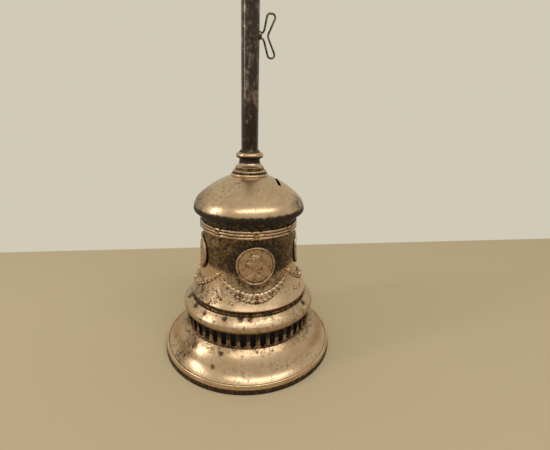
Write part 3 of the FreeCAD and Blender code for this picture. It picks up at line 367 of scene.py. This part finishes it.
def rosette_surface(sizes, spot, size, petals=6, rows=14, columns=42):
    """Rosette on the bell: edge radius 0.8 + 0.2 |cos(n t / 2)|, height sqrt(1 - p^6) (0.62 + 0.5 ring) with
    a ring of petals about p = 0.66 and a button in the middle, and two more rows for its flat back."""
    line = np.concatenate([np.linspace(0, 1, rows), [1.0, 0.0]])
    p, t = np.meshgrid(line, np.linspace(0, TAU, columns, endpoint=False), indexing="ij")
    petal = np.abs(np.cos(petals * t / 2))
    radius = size * sizes.rosette_radius * p * (0.80 + 0.20 * petal)
    ring = np.exp(-((p - 0.66) / 0.2) ** 2) * (0.85 + 0.15 * petal)
    rise = np.sqrt(np.clip(1 - p ** 6, 0, 1)) * (0.62 + 0.5 * ring) + 0.12 * np.exp(-(p / 0.16) ** 2)
    lift = size * sizes.rosette_radius * sizes.rosette_lift * rise + FRONT_LIFT
    lift[rows:] = ROSETTE_BACK_LIFT
    across = spot[0] + radius * np.cos(t)
    up = spot[1] + radius * np.sin(t)
    points = bell_point(sizes, across, up, lift).reshape(-1, 3)
    # Patina and painted shade in a ring inside the petals and at the rosette's edge
    hollows = np.maximum(ease(0.45, 0.30, p) * ease(0.08, 0.2, p), ease(0.9, 1.0, p))
    return points, grid_quads(rows + 2, columns, wrap_columns=True), hollows


# Swag's half angle about the stem in degrees, its stand-off from the neck, and its ends' rise in drops
SWAG_HALF_ANGLE = 42.5
SWAG_STAND_OFF = 3.2 * MM
SWAG_RISE = 0.93
# Leaves' lean in degrees, their offset from the line in lengths, and how much the last ones shrink
LEAF_LEAN = 24
LEAF_OFFSET = 0.34
LEAF_SHRINK = 0.55
# Each pair's sides as (side, scale), and the rosettes as (share of the way to a knob, size)
LEAF_SIDES = ((-1, 1.0), (1, 0.8))
ROSETTES = ((0.0, 1.0), (0.20, 0.6), (-0.20, 0.6), (0.40, 0.92), (-0.40, 0.92))


def swag_line(sizes, share):
    """Place and slope of the swag's middle line at a share s of the way to a knob: the parabola
    z = knob - drop (1 - 0.93 s^2)."""
    half_span = math.radians(SWAG_HALF_ANGLE) * (sizes.neck_radius + SWAG_STAND_OFF)
    height = KNOB_HEIGHT - sizes.swag_drop * (1 - SWAG_RISE * share ** 2)
    slope = np.arctan(2 * SWAG_RISE * sizes.swag_drop * share / half_span)
    return share * half_span, height, slope


def swag_body(sizes, leaves=9, rows=181, columns=17):
    """Crescent under the leaves: half width w = tip + (full - tip) (1 - s^2), lift
    w sqrt(1 - t^2) (0.34 + 0.14 saw + 0.10 t), with lapping scales from saw = frac(n |s| + 0.55 |t|)."""
    s, t = np.meshgrid(np.linspace(-1, 1, rows), np.linspace(-1, 1, columns), indexing="ij")
    width = sizes.swag_tip + (sizes.swag_width - sizes.swag_tip) * (1 - s ** 2)
    saw = np.mod(leaves * np.abs(s) + 0.55 * np.abs(t), 1.0)
    arch = np.sqrt(np.clip(1 - t ** 2, 0, 1))
    height = FRONT_LIFT + width * arch * (0.34 + 0.14 * saw + 0.10 * t)
    across, up, slope = swag_line(sizes, s)
    scallop = width * t * (0.86 + 0.14 * saw)
    across = across - scallop * np.sin(slope)
    up = up + scallop * np.cos(slope)
    skin = slab(bell_point(sizes, across, up, height), bell_point(sizes, across, up, 0 * height + BACK_LIFT))
    # Patina and painted shade at the edges of the lapping scales, and painted shade along the swag's lower
    # side
    hollows = np.maximum(0.7 * ease(0.30, 0.0, saw), 0.5 * ease(0.2, -0.9, t))
    return *skin, np.stack([hollows, 0 * hollows + BACK_HOLLOW])


def swag_surface(sizes, pairs=9):
    """Swag between two knobs: its body, pairs of leaves that lie back from the middle, and rosettes."""
    pieces = [swag_body(sizes)]
    for way in (-1, 1):
        for step in range(pairs):
            share = (step + 0.8) / pairs
            size = 1.0 - LEAF_SHRINK * share ** 1.3
            across, up, slope = swag_line(sizes, way * share)
            heading = slope if way > 0 else math.pi + slope
            for side, scale in LEAF_SIDES:
                lean = heading + side * way * math.radians(LEAF_LEAN)
                off = LEAF_OFFSET * size * sizes.leaf_length * side
                spot = (across - off * math.sin(slope), up + off * math.cos(slope))
                pieces.append(leaf_surface(sizes, spot, lean, scale * size))
    for share, size in ROSETTES:
        across, up, _ = swag_line(sizes, share)
        pieces.append(rosette_surface(sizes, (across, up), size))
    return gather(pieces)


# Step from the nipple's thread in to its plain tail, and depth of the thread's last section in thread depths
TAIL_STEP = 0.6 * MM
LAST_DEPTH = 0.9


def nipple_surface(sizes, turns=96, sections=120):
    """Nipple as a ring of sections: bore, plain tail and thread, r = major - depth (1 - cos(k z - t)) / 2."""
    bore, tail = sizes.pipe_bore, NIPPLE_RADIUS - TAIL_STEP
    threaded = np.linspace(COUPLING_TOP, NIPPLE_TOP, sections)
    radius = np.concatenate([[bore, tail, tail], np.full(sections, NIPPLE_RADIUS), [bore]])
    height = np.concatenate([[NIPPLE_LOW, NIPPLE_LOW, COUPLING_TOP], threaded, [NIPPLE_TOP]])
    depth = np.zeros(radius.size)
    depth[3:-1] = sizes.thread_depth
    depth[-2] = LAST_DEPTH * sizes.thread_depth
    around = np.linspace(0, TAU, turns, endpoint=False)
    groove = 0.5 - 0.5 * np.cos(TAU * height[:, None] / sizes.thread_pitch - around[None, :])
    r = radius[:, None] - depth[:, None] * groove
    z = np.broadcast_to(height[:, None], r.shape)
    points = np.stack([r * np.cos(around), r * np.sin(around), z], axis=-1)
    return points, grid_quads(radius.size, turns, wrap_rows=True, wrap_columns=True)[:, ::-1], groove


class Field:
    """Shader socket that can be written in sums: each operator adds a Math node."""

    def __init__(self, finish, socket):
        self.finish = finish
        self.socket = socket

    def math(self, operation, first, second):
        return self.finish.node("ShaderNodeMath", {"operation": operation}, {0: first, 1: second})

    def __add__(self, other):
        return self.math("ADD", self, other)

    __radd__ = __add__

    def __mul__(self, other):
        return self.math("MULTIPLY", self, other)

    __rmul__ = __mul__

    def __sub__(self, other):
        return self.math("SUBTRACT", self, other)

    def __rsub__(self, other):
        return self.math("SUBTRACT", other, self)


class Finish:
    """Material built from nodes on the piece's Object coordinates."""

    def __init__(self, name):
        self.material = bpy.data.materials.new(name)
        self.material.use_nodes = True
        self.tree = self.material.node_tree
        self.shader = self.tree.nodes["Principled BSDF"]
        self.place = self.node("ShaderNodeTexCoord", {}, {}, "Object")
        self.height = self.node("ShaderNodeSeparateXYZ", {}, {0: self.place}, 2)

    def node(self, kind, settings, sockets, output=0):
        """Add a node: its type, its settings, the values or links of its sockets, and the output wanted."""
        item = self.tree.nodes.new(kind)
        for key, value in settings.items():
            setattr(item, key, value)
        for key, value in sockets.items():
            self.feed(item.inputs[key], value)
        return Field(self, item.outputs[output])

    def feed(self, socket, value):
        """Link a field to a socket, or set the socket's own value."""
        if isinstance(value, Field):
            self.tree.links.new(value.socket, socket)
        else:
            socket.default_value = value

    def noise(self, size, detail=4.0, roughness=0.55, stretch=(1, 1, 1)):
        """Noise with features of about a size in metres, drawn out along the axes."""
        place = self.node("ShaderNodeMapping", {}, {"Vector": self.place, "Scale": stretch})
        return self.node("ShaderNodeTexNoise", {},
                         {"Vector": place, "Scale": 1 / size, "Detail": detail, "Roughness": roughness})

    def spots(self, pitch, low, high):
        """Round spots, one in each cell of a pitch: 1 within the low distance, 0 past the high one."""
        cells = {"Vector": self.place, "Scale": 1 / pitch}
        near = self.node("ShaderNodeTexVoronoi", {}, cells, "Distance")
        return self.step(near, high, low)

    def step(self, value, low, high):
        """Smooth step of a field from 0 at low to 1 at high."""
        if low > high:
            return 1 - self.step(value, high, low)
        return self.node("ShaderNodeMapRange", {"interpolation_type": "SMOOTHSTEP"},
                         {"Value": value, "From Min": low, "From Max": high})

    def zone(self, low, high, soft):
        """1 between two heights, fading over a soft length."""
        return self.step(self.height, low - soft, low) * self.step(self.height, high + soft, high)

    def ball(self, centre, radius):
        """1 within a fifth of a radius about a point, fading to 0 at the radius."""
        ends = {0: self.place, 1: centre}
        away = self.node("ShaderNodeVectorMath", {"operation": "DISTANCE"}, ends, "Value")
        return self.step(away, radius, 0.2 * radius)

    def mix(self, factor, first, second):
        """Colour mixed from two by a factor."""
        pair = [colour if isinstance(colour, Field) else (*colour, 1.0) for colour in (first, second)]
        return self.node("ShaderNodeMix", {"data_type": "RGBA"}, {0: factor, 6: pair[0], 7: pair[1]}, 2)

    def finish(self, colour, roughness, metallic, bump=None, bump_height=0.0):
        """Feed the shader and hand over the material."""
        self.feed(self.shader.inputs["Base Color"], colour)
        self.feed(self.shader.inputs["Roughness"], roughness)
        self.feed(self.shader.inputs["Metallic"], metallic)
        if bump is not None:
            normal = self.node("ShaderNodeBump", {},
                               {"Height": bump, "Distance": bump_height, "Strength": 1.0})
            self.feed(self.shader.inputs["Normal"], normal)
        return self.material


def worn_plate(name, colours, cover, gloss, dents, zones, patches):
    """Silver plate worn to bronze, under a brown film and black specks that gather in hollows as patina and
    painted shade, in zones of height (low, high, soft, amount) and in round patches (centre, radius, amount)
    that also paint shade and highlights."""
    metal = Finish(name)
    broad = metal.noise(16 * MM, detail=5.0, roughness=0.6)
    cloud = metal.noise(3.5 * MM, detail=6.0, roughness=0.72)
    grain = metal.noise(1.7 * MM, detail=4.0, roughness=0.62)
    hollow_shade_and_patina = metal.node("ShaderNodeAttribute", {"attribute_name": "hollow_shade_and_patina"}, {}, "Fac")
    # Dirt and painted shade: the plate's cover, its hollows, and zones and patches; a negative amount paints
    # a highlight
    grime_and_shade = cover - 0.5 + hollow_shade_and_patina * 0.5
    for low, high, soft, amount in zones:
        grime_and_shade = grime_and_shade + amount * metal.zone(low, high, soft)
    for centre, radius, amount in patches:
        grime_and_shade = grime_and_shade + amount * metal.ball(centre, radius)
    rub = metal.step(0.6 * broad + 0.4 * cloud, 0.38, 0.62)
    film = metal.step(0.5 * cloud + 0.3 * broad + 0.2 * grain + 0.5 * grime_and_shade, 0.42, 0.66)
    specks = metal.step(0.55 * grain + 0.45 * cloud + 0.34 * grime_and_shade, 0.56, 0.66)
    pits = metal.spots(6.0 * MM, low=0.03, high=0.09) * metal.step(broad, 0.44, 0.56)
    black = metal.step(specks + pits + 0.7 * hollow_shade_and_patina, 0.15, 1.0)
    plate = metal.mix(rub, colours.bronze, colours.silver)
    colour = metal.mix(black, metal.mix(film, plate, colours.tarnish), colours.patina)
    roughness = gloss + 0.10 * film + 0.08 * grain + 0.18 * black
    relief = 0.6 * broad + 0.04 * grain - 0.10 * pits
    return metal.finish(colour, roughness, 1 - 0.5 * black, relief, dents)


def in_metres(place):
    """Place in metres from one in millimetres."""
    return tuple(part * MM for part in place)


# Round marks of the stem as (place, radius) in millimetres: painted shade about the screw and two rubbed
# patches
STEM_SCREW_SHADE = ((0, -6.75, 193), 17)
STEM_RUBS = (((5.5, -4, 211), 9), ((-3, -6, 194), 4))


def dark_stem(name, colours):
    """Stem gone dark brown, mottled, with rubbed grey patches, painted shade about the screw and black specks
    along it.
    """
    metal = Finish(name)
    mottle = metal.noise(4 * MM, detail=6.0, roughness=0.75, stretch=(1, 1, 0.7))
    streak = metal.noise(2.5 * MM, detail=4.0, roughness=0.6, stretch=(1, 1, 0.15))
    grain = metal.noise(0.6 * MM, detail=2.0)
    marks = (STEM_SCREW_SHADE, *STEM_RUBS)
    screw_shade, upper, lower = (metal.ball(in_metres(place), radius * MM) for place, radius in marks)
    rubbed = metal.step(0.8 * mottle + 0.2 * streak + 0.09 * (upper + lower) - 0.10 * screw_shade, 0.48, 0.64)
    specks = metal.spots(2.2 * MM, low=0.12, high=0.30) * metal.step(mottle, 0.42, 0.55)
    base = metal.mix(rubbed, colours.stem_brown, colours.stem_grey)
    colour = metal.mix(specks, base, colours.patina)
    metal.feed(metal.shader.inputs["Coat Weight"], 0.75)
    metal.feed(metal.shader.inputs["Coat Roughness"], 0.12)
    roughness = 0.30 + 0.15 * mottle + 0.10 * grain
    return metal.finish(colour, roughness, 0.95 - 0.4 * specks, mottle, 0.004 * MM)


def plain_metal(name, bright, dull, gloss):
    """Metal with dull clouds and a fine grain."""
    metal = Finish(name)
    cloud = metal.noise(3 * MM, detail=5.0, roughness=0.65)
    grain = metal.noise(0.5 * MM, detail=2.0)
    colour = metal.mix(metal.step(cloud, 0.38, 0.66), bright, dull)
    roughness = gloss + 0.15 * cloud + 0.08 * grain
    return metal.finish(colour, roughness, 1 - 0.2 * cloud, grain, 0.01 * MM)


def heat_black(name, colours):
    """Matt black with brown scale."""
    paint = Finish(name)
    cloud = paint.noise(6 * MM, detail=5.0, roughness=0.65)
    colour = paint.mix(paint.step(cloud, 0.52, 0.75), colours.black, colours.stem_brown)
    return paint.finish(colour, 0.62 + 0.2 * cloud, 0.2 * cloud, cloud, 0.05 * MM)


def fired_clay(name, colours):
    """Pale fired clay, sooted towards its lower end."""
    clay = Finish(name)
    low, high = (corner[2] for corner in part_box("ceramic_tip"))
    cloud = clay.noise(3 * MM, detail=5.0, roughness=0.6)
    soot = clay.step(clay.height + (cloud - 0.5) * 8 * MM, high - 4 * MM, low)
    colour = clay.mix(soot, colours.clay, colours.soot)
    return clay.finish(colour, 0.85 - 0.1 * cloud, 0.0, cloud, 0.05 * MM)


# Darker patches, a stain among them, and a painted highlight as (place, radius, amount), dark spots painted
# as the shade of dents, and scars, as (place, radius), all in millimetres
DARK_PATCHES_AND_HIGHLIGHT = {
    "dome": (((-46, -6, 132), 28, 0.24), ((42, -24, 128), 22, 0.26)),
    # On the bell the last patch, with a negative amount, is a painted highlight low on the front flare
    "bell": (((2, -40, 86), 36, 0.42), ((-20, 34, 90), 36, 0.32), ((36, 14, 96), 26, 0.22),
             ((-50, -14, 62), 20, 0.22), ((-36, -32, 64), 20, 0.22), ((8, -50, 58), 22, -0.35)),
    "skirt": (((-56, -33, 14), 17, 0.25),),
}
# Dark spots on the shoulder ring, painted as the shade of dents
SHOULDER_DENT_SHADE = (
    ((-47.0, -23.6, 49.9), 4.2), ((-40.0, -35.4, 49.2), 3.0), ((-24.9, -46.8, 49.5), 3.4),
    ((-52.0, -7.6, 50.0), 3.6), ((-13.0, -50.6, 51.0), 4.4), ((-6.0, -52.0, 51.0), 4.4),
    ((41.7, -32.7, 49.6), 3.2), ((30.0, 43.0, 49.6), 4.0), ((-34.0, 40.5, 49.6), 3.4),
)
SKIRT_SCARS = (
    ((-48.9, -36.0, 21.5), 4.0), ((-65.6, -9.3, 12.8), 3.0), ((-29.1, -52.3, 22.4), 3.2),
    ((-35.4, -55.2, 13.8), 3.2), ((52.0, 30.0, 20.0), 3.8), ((-20.0, 58.0, 18.0), 3.2),
)
DENT_SHADE_AMOUNT = 0.36
SCAR_AMOUNT = 0.32
# Painted shade on the collar's creases, waist, bead underside and sloping top as (from, to, amount), in
# millimetres over the dome
COLLAR_SHADE = ((2.3, 3.2, 0.40), (5.0, 6.4, 0.30), (10.4, 15.2, 0.75), (18.8, 20.4, 0.45))
SOFT_STEP = 0.7 * MM
# Height of the dents in spun plate and in fine ornament
SPUN = 0.05 * MM
FINE = 0.01 * MM
# Worn plates as (cover of grime, gloss, height of the dents)
PLATES = {
    "dome": (0.41, 0.26, SPUN),
    "bell": (0.42, 0.27, SPUN),
    "reeds": (0.46, 0.26, FINE),
    "ornament": (0.47, 0.30, FINE),
    "roundel": (0.56, 0.30, FINE),
    "shoulder": (0.50, 0.26, SPUN),
    "vent": (0.66, 0.32, SPUN),
    "skirt": (0.43, 0.24, SPUN),
    "band": (0.45, 0.24, SPUN),
    "collar": (0.47, 0.25, SPUN),
}


def plate_zones():
    """Zones of height on each worn plate, as (low, high, soft, amount): painted shade, shadow, dark
    reflection and a highlight, and darker plate above the flare and at the skirt's top.
    """
    # Painted shade on the dome's rolled lower edge
    dome_edge_shade = (DOME_LOW, DOME_LOW + 3.0 * MM, 3.8 * MM, 0.80)
    # Painted shadow of the dome on the top of the bell
    neck = (BELL_TOP - 4 * MM, BELL_TOP, 3 * MM, 0.24)
    upper_bell = (LIP_LOW + 30 * MM, BELL_TOP, 6 * MM, 0.33)
    # Painted shade in the groove under the bell's lip
    groove = (LIP_LOW - 2.0 * MM, LIP_LOW, 2.5 * MM, 0.52)
    vent_shade = (VENT_HIGH - 3 * MM, VENT_HIGH, 5 * MM, 0.45)
    skirt_top = (SKIRT_TOP - 1.5 * MM, SKIRT_TOP, 4 * MM, 0.16)
    # Painted dark reflection of the floor low on the foot band
    band_dark_reflection = (0.0, 3.0 * MM, 3 * MM, 0.5)
    # Painted highlight along the bead at the band's top
    bead_highlight = (BAND_TOP - 3.0 * MM, BAND_TOP, 1 * MM, -0.5)
    # Painted shade in the grooves between the reeds
    reed_groove_shade = [(level, level, SOFT_STEP, 0.45) for level in np.linspace(REED_LOW, REED_HIGH, 4)]
    collar_shade = [(DOME_TOP + low * MM, DOME_TOP + high * MM, SOFT_STEP, amount)
                    for low, high, amount in COLLAR_SHADE]
    return {"dome": [dome_edge_shade], "bell": [neck, upper_bell], "reeds": reed_groove_shade, "shoulder": [groove],
            "vent": [vent_shade], "skirt": [skirt_top], "band": [band_dark_reflection, bead_highlight], "collar": collar_shade}


def plate_patches(plate):
    """Darker patches, a painted highlight, painted dent shade and scars of a worn plate, as (place, radius,
    amount) in metres.
    """
    marks = list(DARK_PATCHES_AND_HIGHLIGHT.get(plate, ()))
    if plate == "shoulder":
        marks += [(*dent_shade, DENT_SHADE_AMOUNT) for dent_shade in SHOULDER_DENT_SHADE]
    if plate == "skirt":
        marks += [(*scar, SCAR_AMOUNT) for scar in SKIRT_SCARS]
    return [(in_metres(place), radius * MM, amount) for place, radius, amount in marks]


def finishes(colours):
    """Every finish by name."""
    zones = plate_zones()
    made = {plate: worn_plate("worn_plate_" + plate, colours, cover, gloss, dents, zones.get(plate, ()),
                              plate_patches(plate))
            for plate, (cover, gloss, dents) in PLATES.items()}
    made["stem"] = dark_stem("dark_stem", colours)
    made["brass"] = plain_metal("plain_brass", colours.brass, colours.bronze, 0.32)
    made["wire"] = plain_metal("dark_wire", colours.wire, colours.patina, 0.18)
    made["steel"] = plain_metal("dull_steel", colours.steel, colours.stem_grey, 0.38)
    made["black"] = heat_black("heat_black", colours)
    made["clay"] = fired_clay("fired_clay", colours)
    return made


NODE_FINISH = {
    "dome": ["dome_cap"],
    "bell": ["bell_body", "berry_sprigs"],
    "reeds": ["reeded_band", "reed_ties"],
    "ornament": ["garland_knobs"] + ["garland_" + side for side in SIDES],
    "roundel": ["medallion_" + side for side in SIDES],
    "shoulder": ["shoulder_ring"],
    "vent": ["vent_ring"],
    "skirt": ["foot_skirt"],
    "band": ["foot_band"],
    "collar": ["stem_collar"],
    "stem": ["stem_casing", "top_coupling"],
    "brass": ["gas_pipe_lower", "gas_pipe_middle", "gas_pipe_upper", "tap_washer", "threaded_nipple",
              "gas_nozzle", "mixer_body", "air_shutter", "mixing_tube", "burner_cup", "dome_nut"],
    # The regulator's body and screw take the dark wire finish as painted shade in the stem's screw hole
    "wire": ["tap_key", "tap_body", "tap_plug", "regulator_body", "regulator_screw"],
    "steel": ["carrier_screws"],
    # The light baffle's black stands for the shade seen through the vent slots
    "black": ["light_baffle", "heat_deflector", "burner_carrier"],
    "clay": ["ceramic_tip"],
}


class LAMP_OT_finishes(bpy.types.Operator):
    """Give every solid of the lamp its finish"""
    bl_idname = "lamp.finishes"
    bl_label = "Finish the solids"

    def execute(self, context):
        for finish, material in finishes(context.scene.lamp_colours).items():
            for node in NODE_FINISH[finish]:
                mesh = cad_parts[node].data
                mesh.materials.clear()
                mesh.materials.append(material)
        return {"FINISHED"}


class LAMP_OT_roundels(bpy.types.Operator):
    """Make the four roundels with a head in relief"""
    bl_idname = "lamp.roundels"
    bl_label = "Roundels"

    def execute(self, context):
        points, quads, hollows = roundel_surface(context.scene.lamp_sizes)
        finish = bpy.data.materials["worn_plate_roundel"]
        for side, angle in SIDES.items():
            put_mesh("roundel_" + side, turn_about_stem(points, angle), quads, hollows, finish,
                     "medallion_" + side)
        return {"FINISHED"}


class LAMP_OT_swags(bpy.types.Operator):
    """Make the four swags of leaves and rosettes"""
    bl_idname = "lamp.swags"
    bl_label = "Swags"

    def execute(self, context):
        points, quads, hollows = swag_surface(context.scene.lamp_sizes)
        finish = bpy.data.materials["worn_plate_ornament"]
        for side, angle in SIDES.items():
            put_mesh("swag_" + side, turn_about_stem(points, angle), quads, hollows, finish,
                     "garland_" + side)
        return {"FINISHED"}


class LAMP_OT_thread(bpy.types.Operator):
    """Make the nipple with its pipe thread"""
    bl_idname = "lamp.thread"
    bl_label = "Pipe thread"

    def execute(self, context):
        points, quads, hollows = nipple_surface(context.scene.lamp_sizes)
        finish = bpy.data.materials["plain_brass"]
        put_mesh("pipe_thread", points, quads, hollows, finish, "threaded_nipple")
        return {"FINISHED"}


# Camera found from the circles of the lamp in the photo, in metres and degrees, its lens in image widths
CAMERA_DISTANCE = 0.27615
CAMERA_HEIGHT = 0.19933
CAMERA_AZIMUTH = -7.7
CAMERA_YAW = 4.588
CAMERA_PITCH = 17.90
CAMERA_ROLL = 1.742
LENS_WIDTHS = 337 / 550
SENSOR = 36.0
NEAR_CLIP = 0.005
# Floor from -half to +half, up to the back edge y = back + slope x, in metres
FLOOR_HALF = 12.0
FLOOR_BACK = 0.228
FLOOR_SLOPE = -0.0624
FLOOR_CLOUD = 0.25
FLOOR_PALER = 1.08
# Soft lights as (place, aim, size, power), in metres and watts
LIGHTS = {
    "front_light": ((0.12, -0.72, 1.02), (0, 0, 0.1), (1.5, 0.26), 5.0),
    "window_light": ((-0.99, -0.14, 0.56), (0, 0, 0.3), (0.15, 0.62), 2.4),
}
LIGHT_COLOUR = (1.0, 0.96, 0.86)


def camera_matrix():
    """Camera left of the front, turned a little to the right of the stem and down, and rolled."""
    azimuth = math.radians(CAMERA_AZIMUTH)
    heading = math.radians(CAMERA_YAW) - azimuth
    pitch = math.radians(CAMERA_PITCH)
    roll = math.radians(CAMERA_ROLL)
    spot = Vector((CAMERA_DISTANCE * math.sin(azimuth), -CAMERA_DISTANCE * math.cos(azimuth), CAMERA_HEIGHT))
    level_run = math.cos(pitch)
    ahead = Vector((math.sin(heading) * level_run, math.cos(heading) * level_run, -math.sin(pitch)))
    level = Vector((math.cos(heading), -math.sin(heading), 0))
    upward = level.cross(ahead)
    right = math.cos(roll) * level + math.sin(roll) * upward
    top = math.cos(roll) * upward - math.sin(roll) * level
    turn = Matrix((right, top, -ahead)).transposed().to_4x4()
    return Matrix.Translation(spot) @ turn


def soft_lamp(name, spot, aim, size, power, colour):
    """Rectangular area light of a width and height at a spot, turned to its aim."""
    light = bpy.data.lights.new(name, "AREA")
    light.shape = "RECTANGLE"
    light.size, light.size_y = size
    light.energy = power
    light.color = colour
    item = bpy.data.objects.new(name, light)
    item.location = spot
    item.rotation_euler = (Vector(aim) - Vector(spot)).to_track_quat("-Z", "Y").to_euler()
    bpy.context.scene.collection.objects.link(item)


class LAMP_OT_stage(bpy.types.Operator):
    """Make the floor, the light and the camera"""
    bl_idname = "lamp.stage"
    bl_label = "Stage"

    def execute(self, context):
        scene = context.scene
        colours = scene.lamp_colours
        scene.view_settings.view_transform = "Standard"
        half = FLOOR_HALF
        right, left = (FLOOR_BACK + FLOOR_SLOPE * side * half for side in (1, -1))
        corners = np.array([[-half, -half, 0], [half, -half, 0], [half, right, 0], [-half, left, 0]])
        mesh = bpy.data.meshes.new("floor")
        mesh.from_pydata(corners, [], [[0, 1, 2, 3]])
        ground = Finish("pale_floor")
        shade = ground.noise(FLOOR_CLOUD, detail=3.0)
        paler = [min(1.0, FLOOR_PALER * part) for part in colours.floor]
        colour = ground.mix(shade, colours.floor, paler)
        mesh.materials.append(ground.finish(colour, 0.8 + 0.05 * shade, 0.0))
        floor = bpy.data.objects.new("floor", mesh)
        scene.collection.objects.link(floor)
        world = bpy.data.worlds.new("backdrop")
        world.use_nodes = True
        sky = world.node_tree.nodes["Background"]
        sky.inputs["Color"].default_value = (*colours.backdrop, 1.0)
        sky.inputs["Strength"].default_value = 1.0
        scene.world = world
        for name, (spot, aim, size, power) in LIGHTS.items():
            soft_lamp(name, spot, aim, size, power, LIGHT_COLOUR)
        lens = bpy.data.cameras.new("photo_camera")
        lens.sensor_fit = "HORIZONTAL"
        lens.sensor_width = SENSOR
        lens.lens = SENSOR * LENS_WIDTHS
        lens.clip_start = NEAR_CLIP
        camera = bpy.data.objects.new("photo_camera", lens)
        camera.matrix_world = camera_matrix()
        scene.collection.objects.link(camera)
        scene.camera = camera
        return {"FINISHED"}


OPERATORS = (LAMP_OT_finishes, LAMP_OT_roundels, LAMP_OT_swags, LAMP_OT_thread, LAMP_OT_stage)


class LAMP_PT_sidebar(bpy.types.Panel):
    """Sizes, colours and pieces of the lamp"""
    bl_idname = "LAMP_PT_sidebar"
    bl_label = "Gas lamp"
    bl_space_type = "VIEW_3D"
    bl_region_type = "UI"
    bl_category = "Gas lamp"

    def draw(self, context):
        column = self.layout.column()
        for group in (context.scene.lamp_sizes, context.scene.lamp_colours):
            for name in group.__annotations__:
                column.prop(group, name)
        for operator in OPERATORS:
            column.operator(operator.bl_idname)


CLASSES = (LampSizes, LampColours, *OPERATORS, LAMP_PT_sidebar)


def register():
    for item in CLASSES:
        bpy.utils.register_class(item)
    bpy.types.Scene.lamp_sizes = bpy.props.PointerProperty(type=LampSizes)
    bpy.types.Scene.lamp_colours = bpy.props.PointerProperty(type=LampColours)


def unregister():
    del bpy.types.Scene.lamp_colours
    del bpy.types.Scene.lamp_sizes
    for item in reversed(CLASSES):
        bpy.utils.unregister_class(item)


def main():
    register()
    bpy.ops.lamp.finishes()
    bpy.ops.lamp.roundels()
    bpy.ops.lamp.swags()
    bpy.ops.lamp.thread()
    bpy.ops.lamp.stage()


if __name__ == "__main__":
    main()
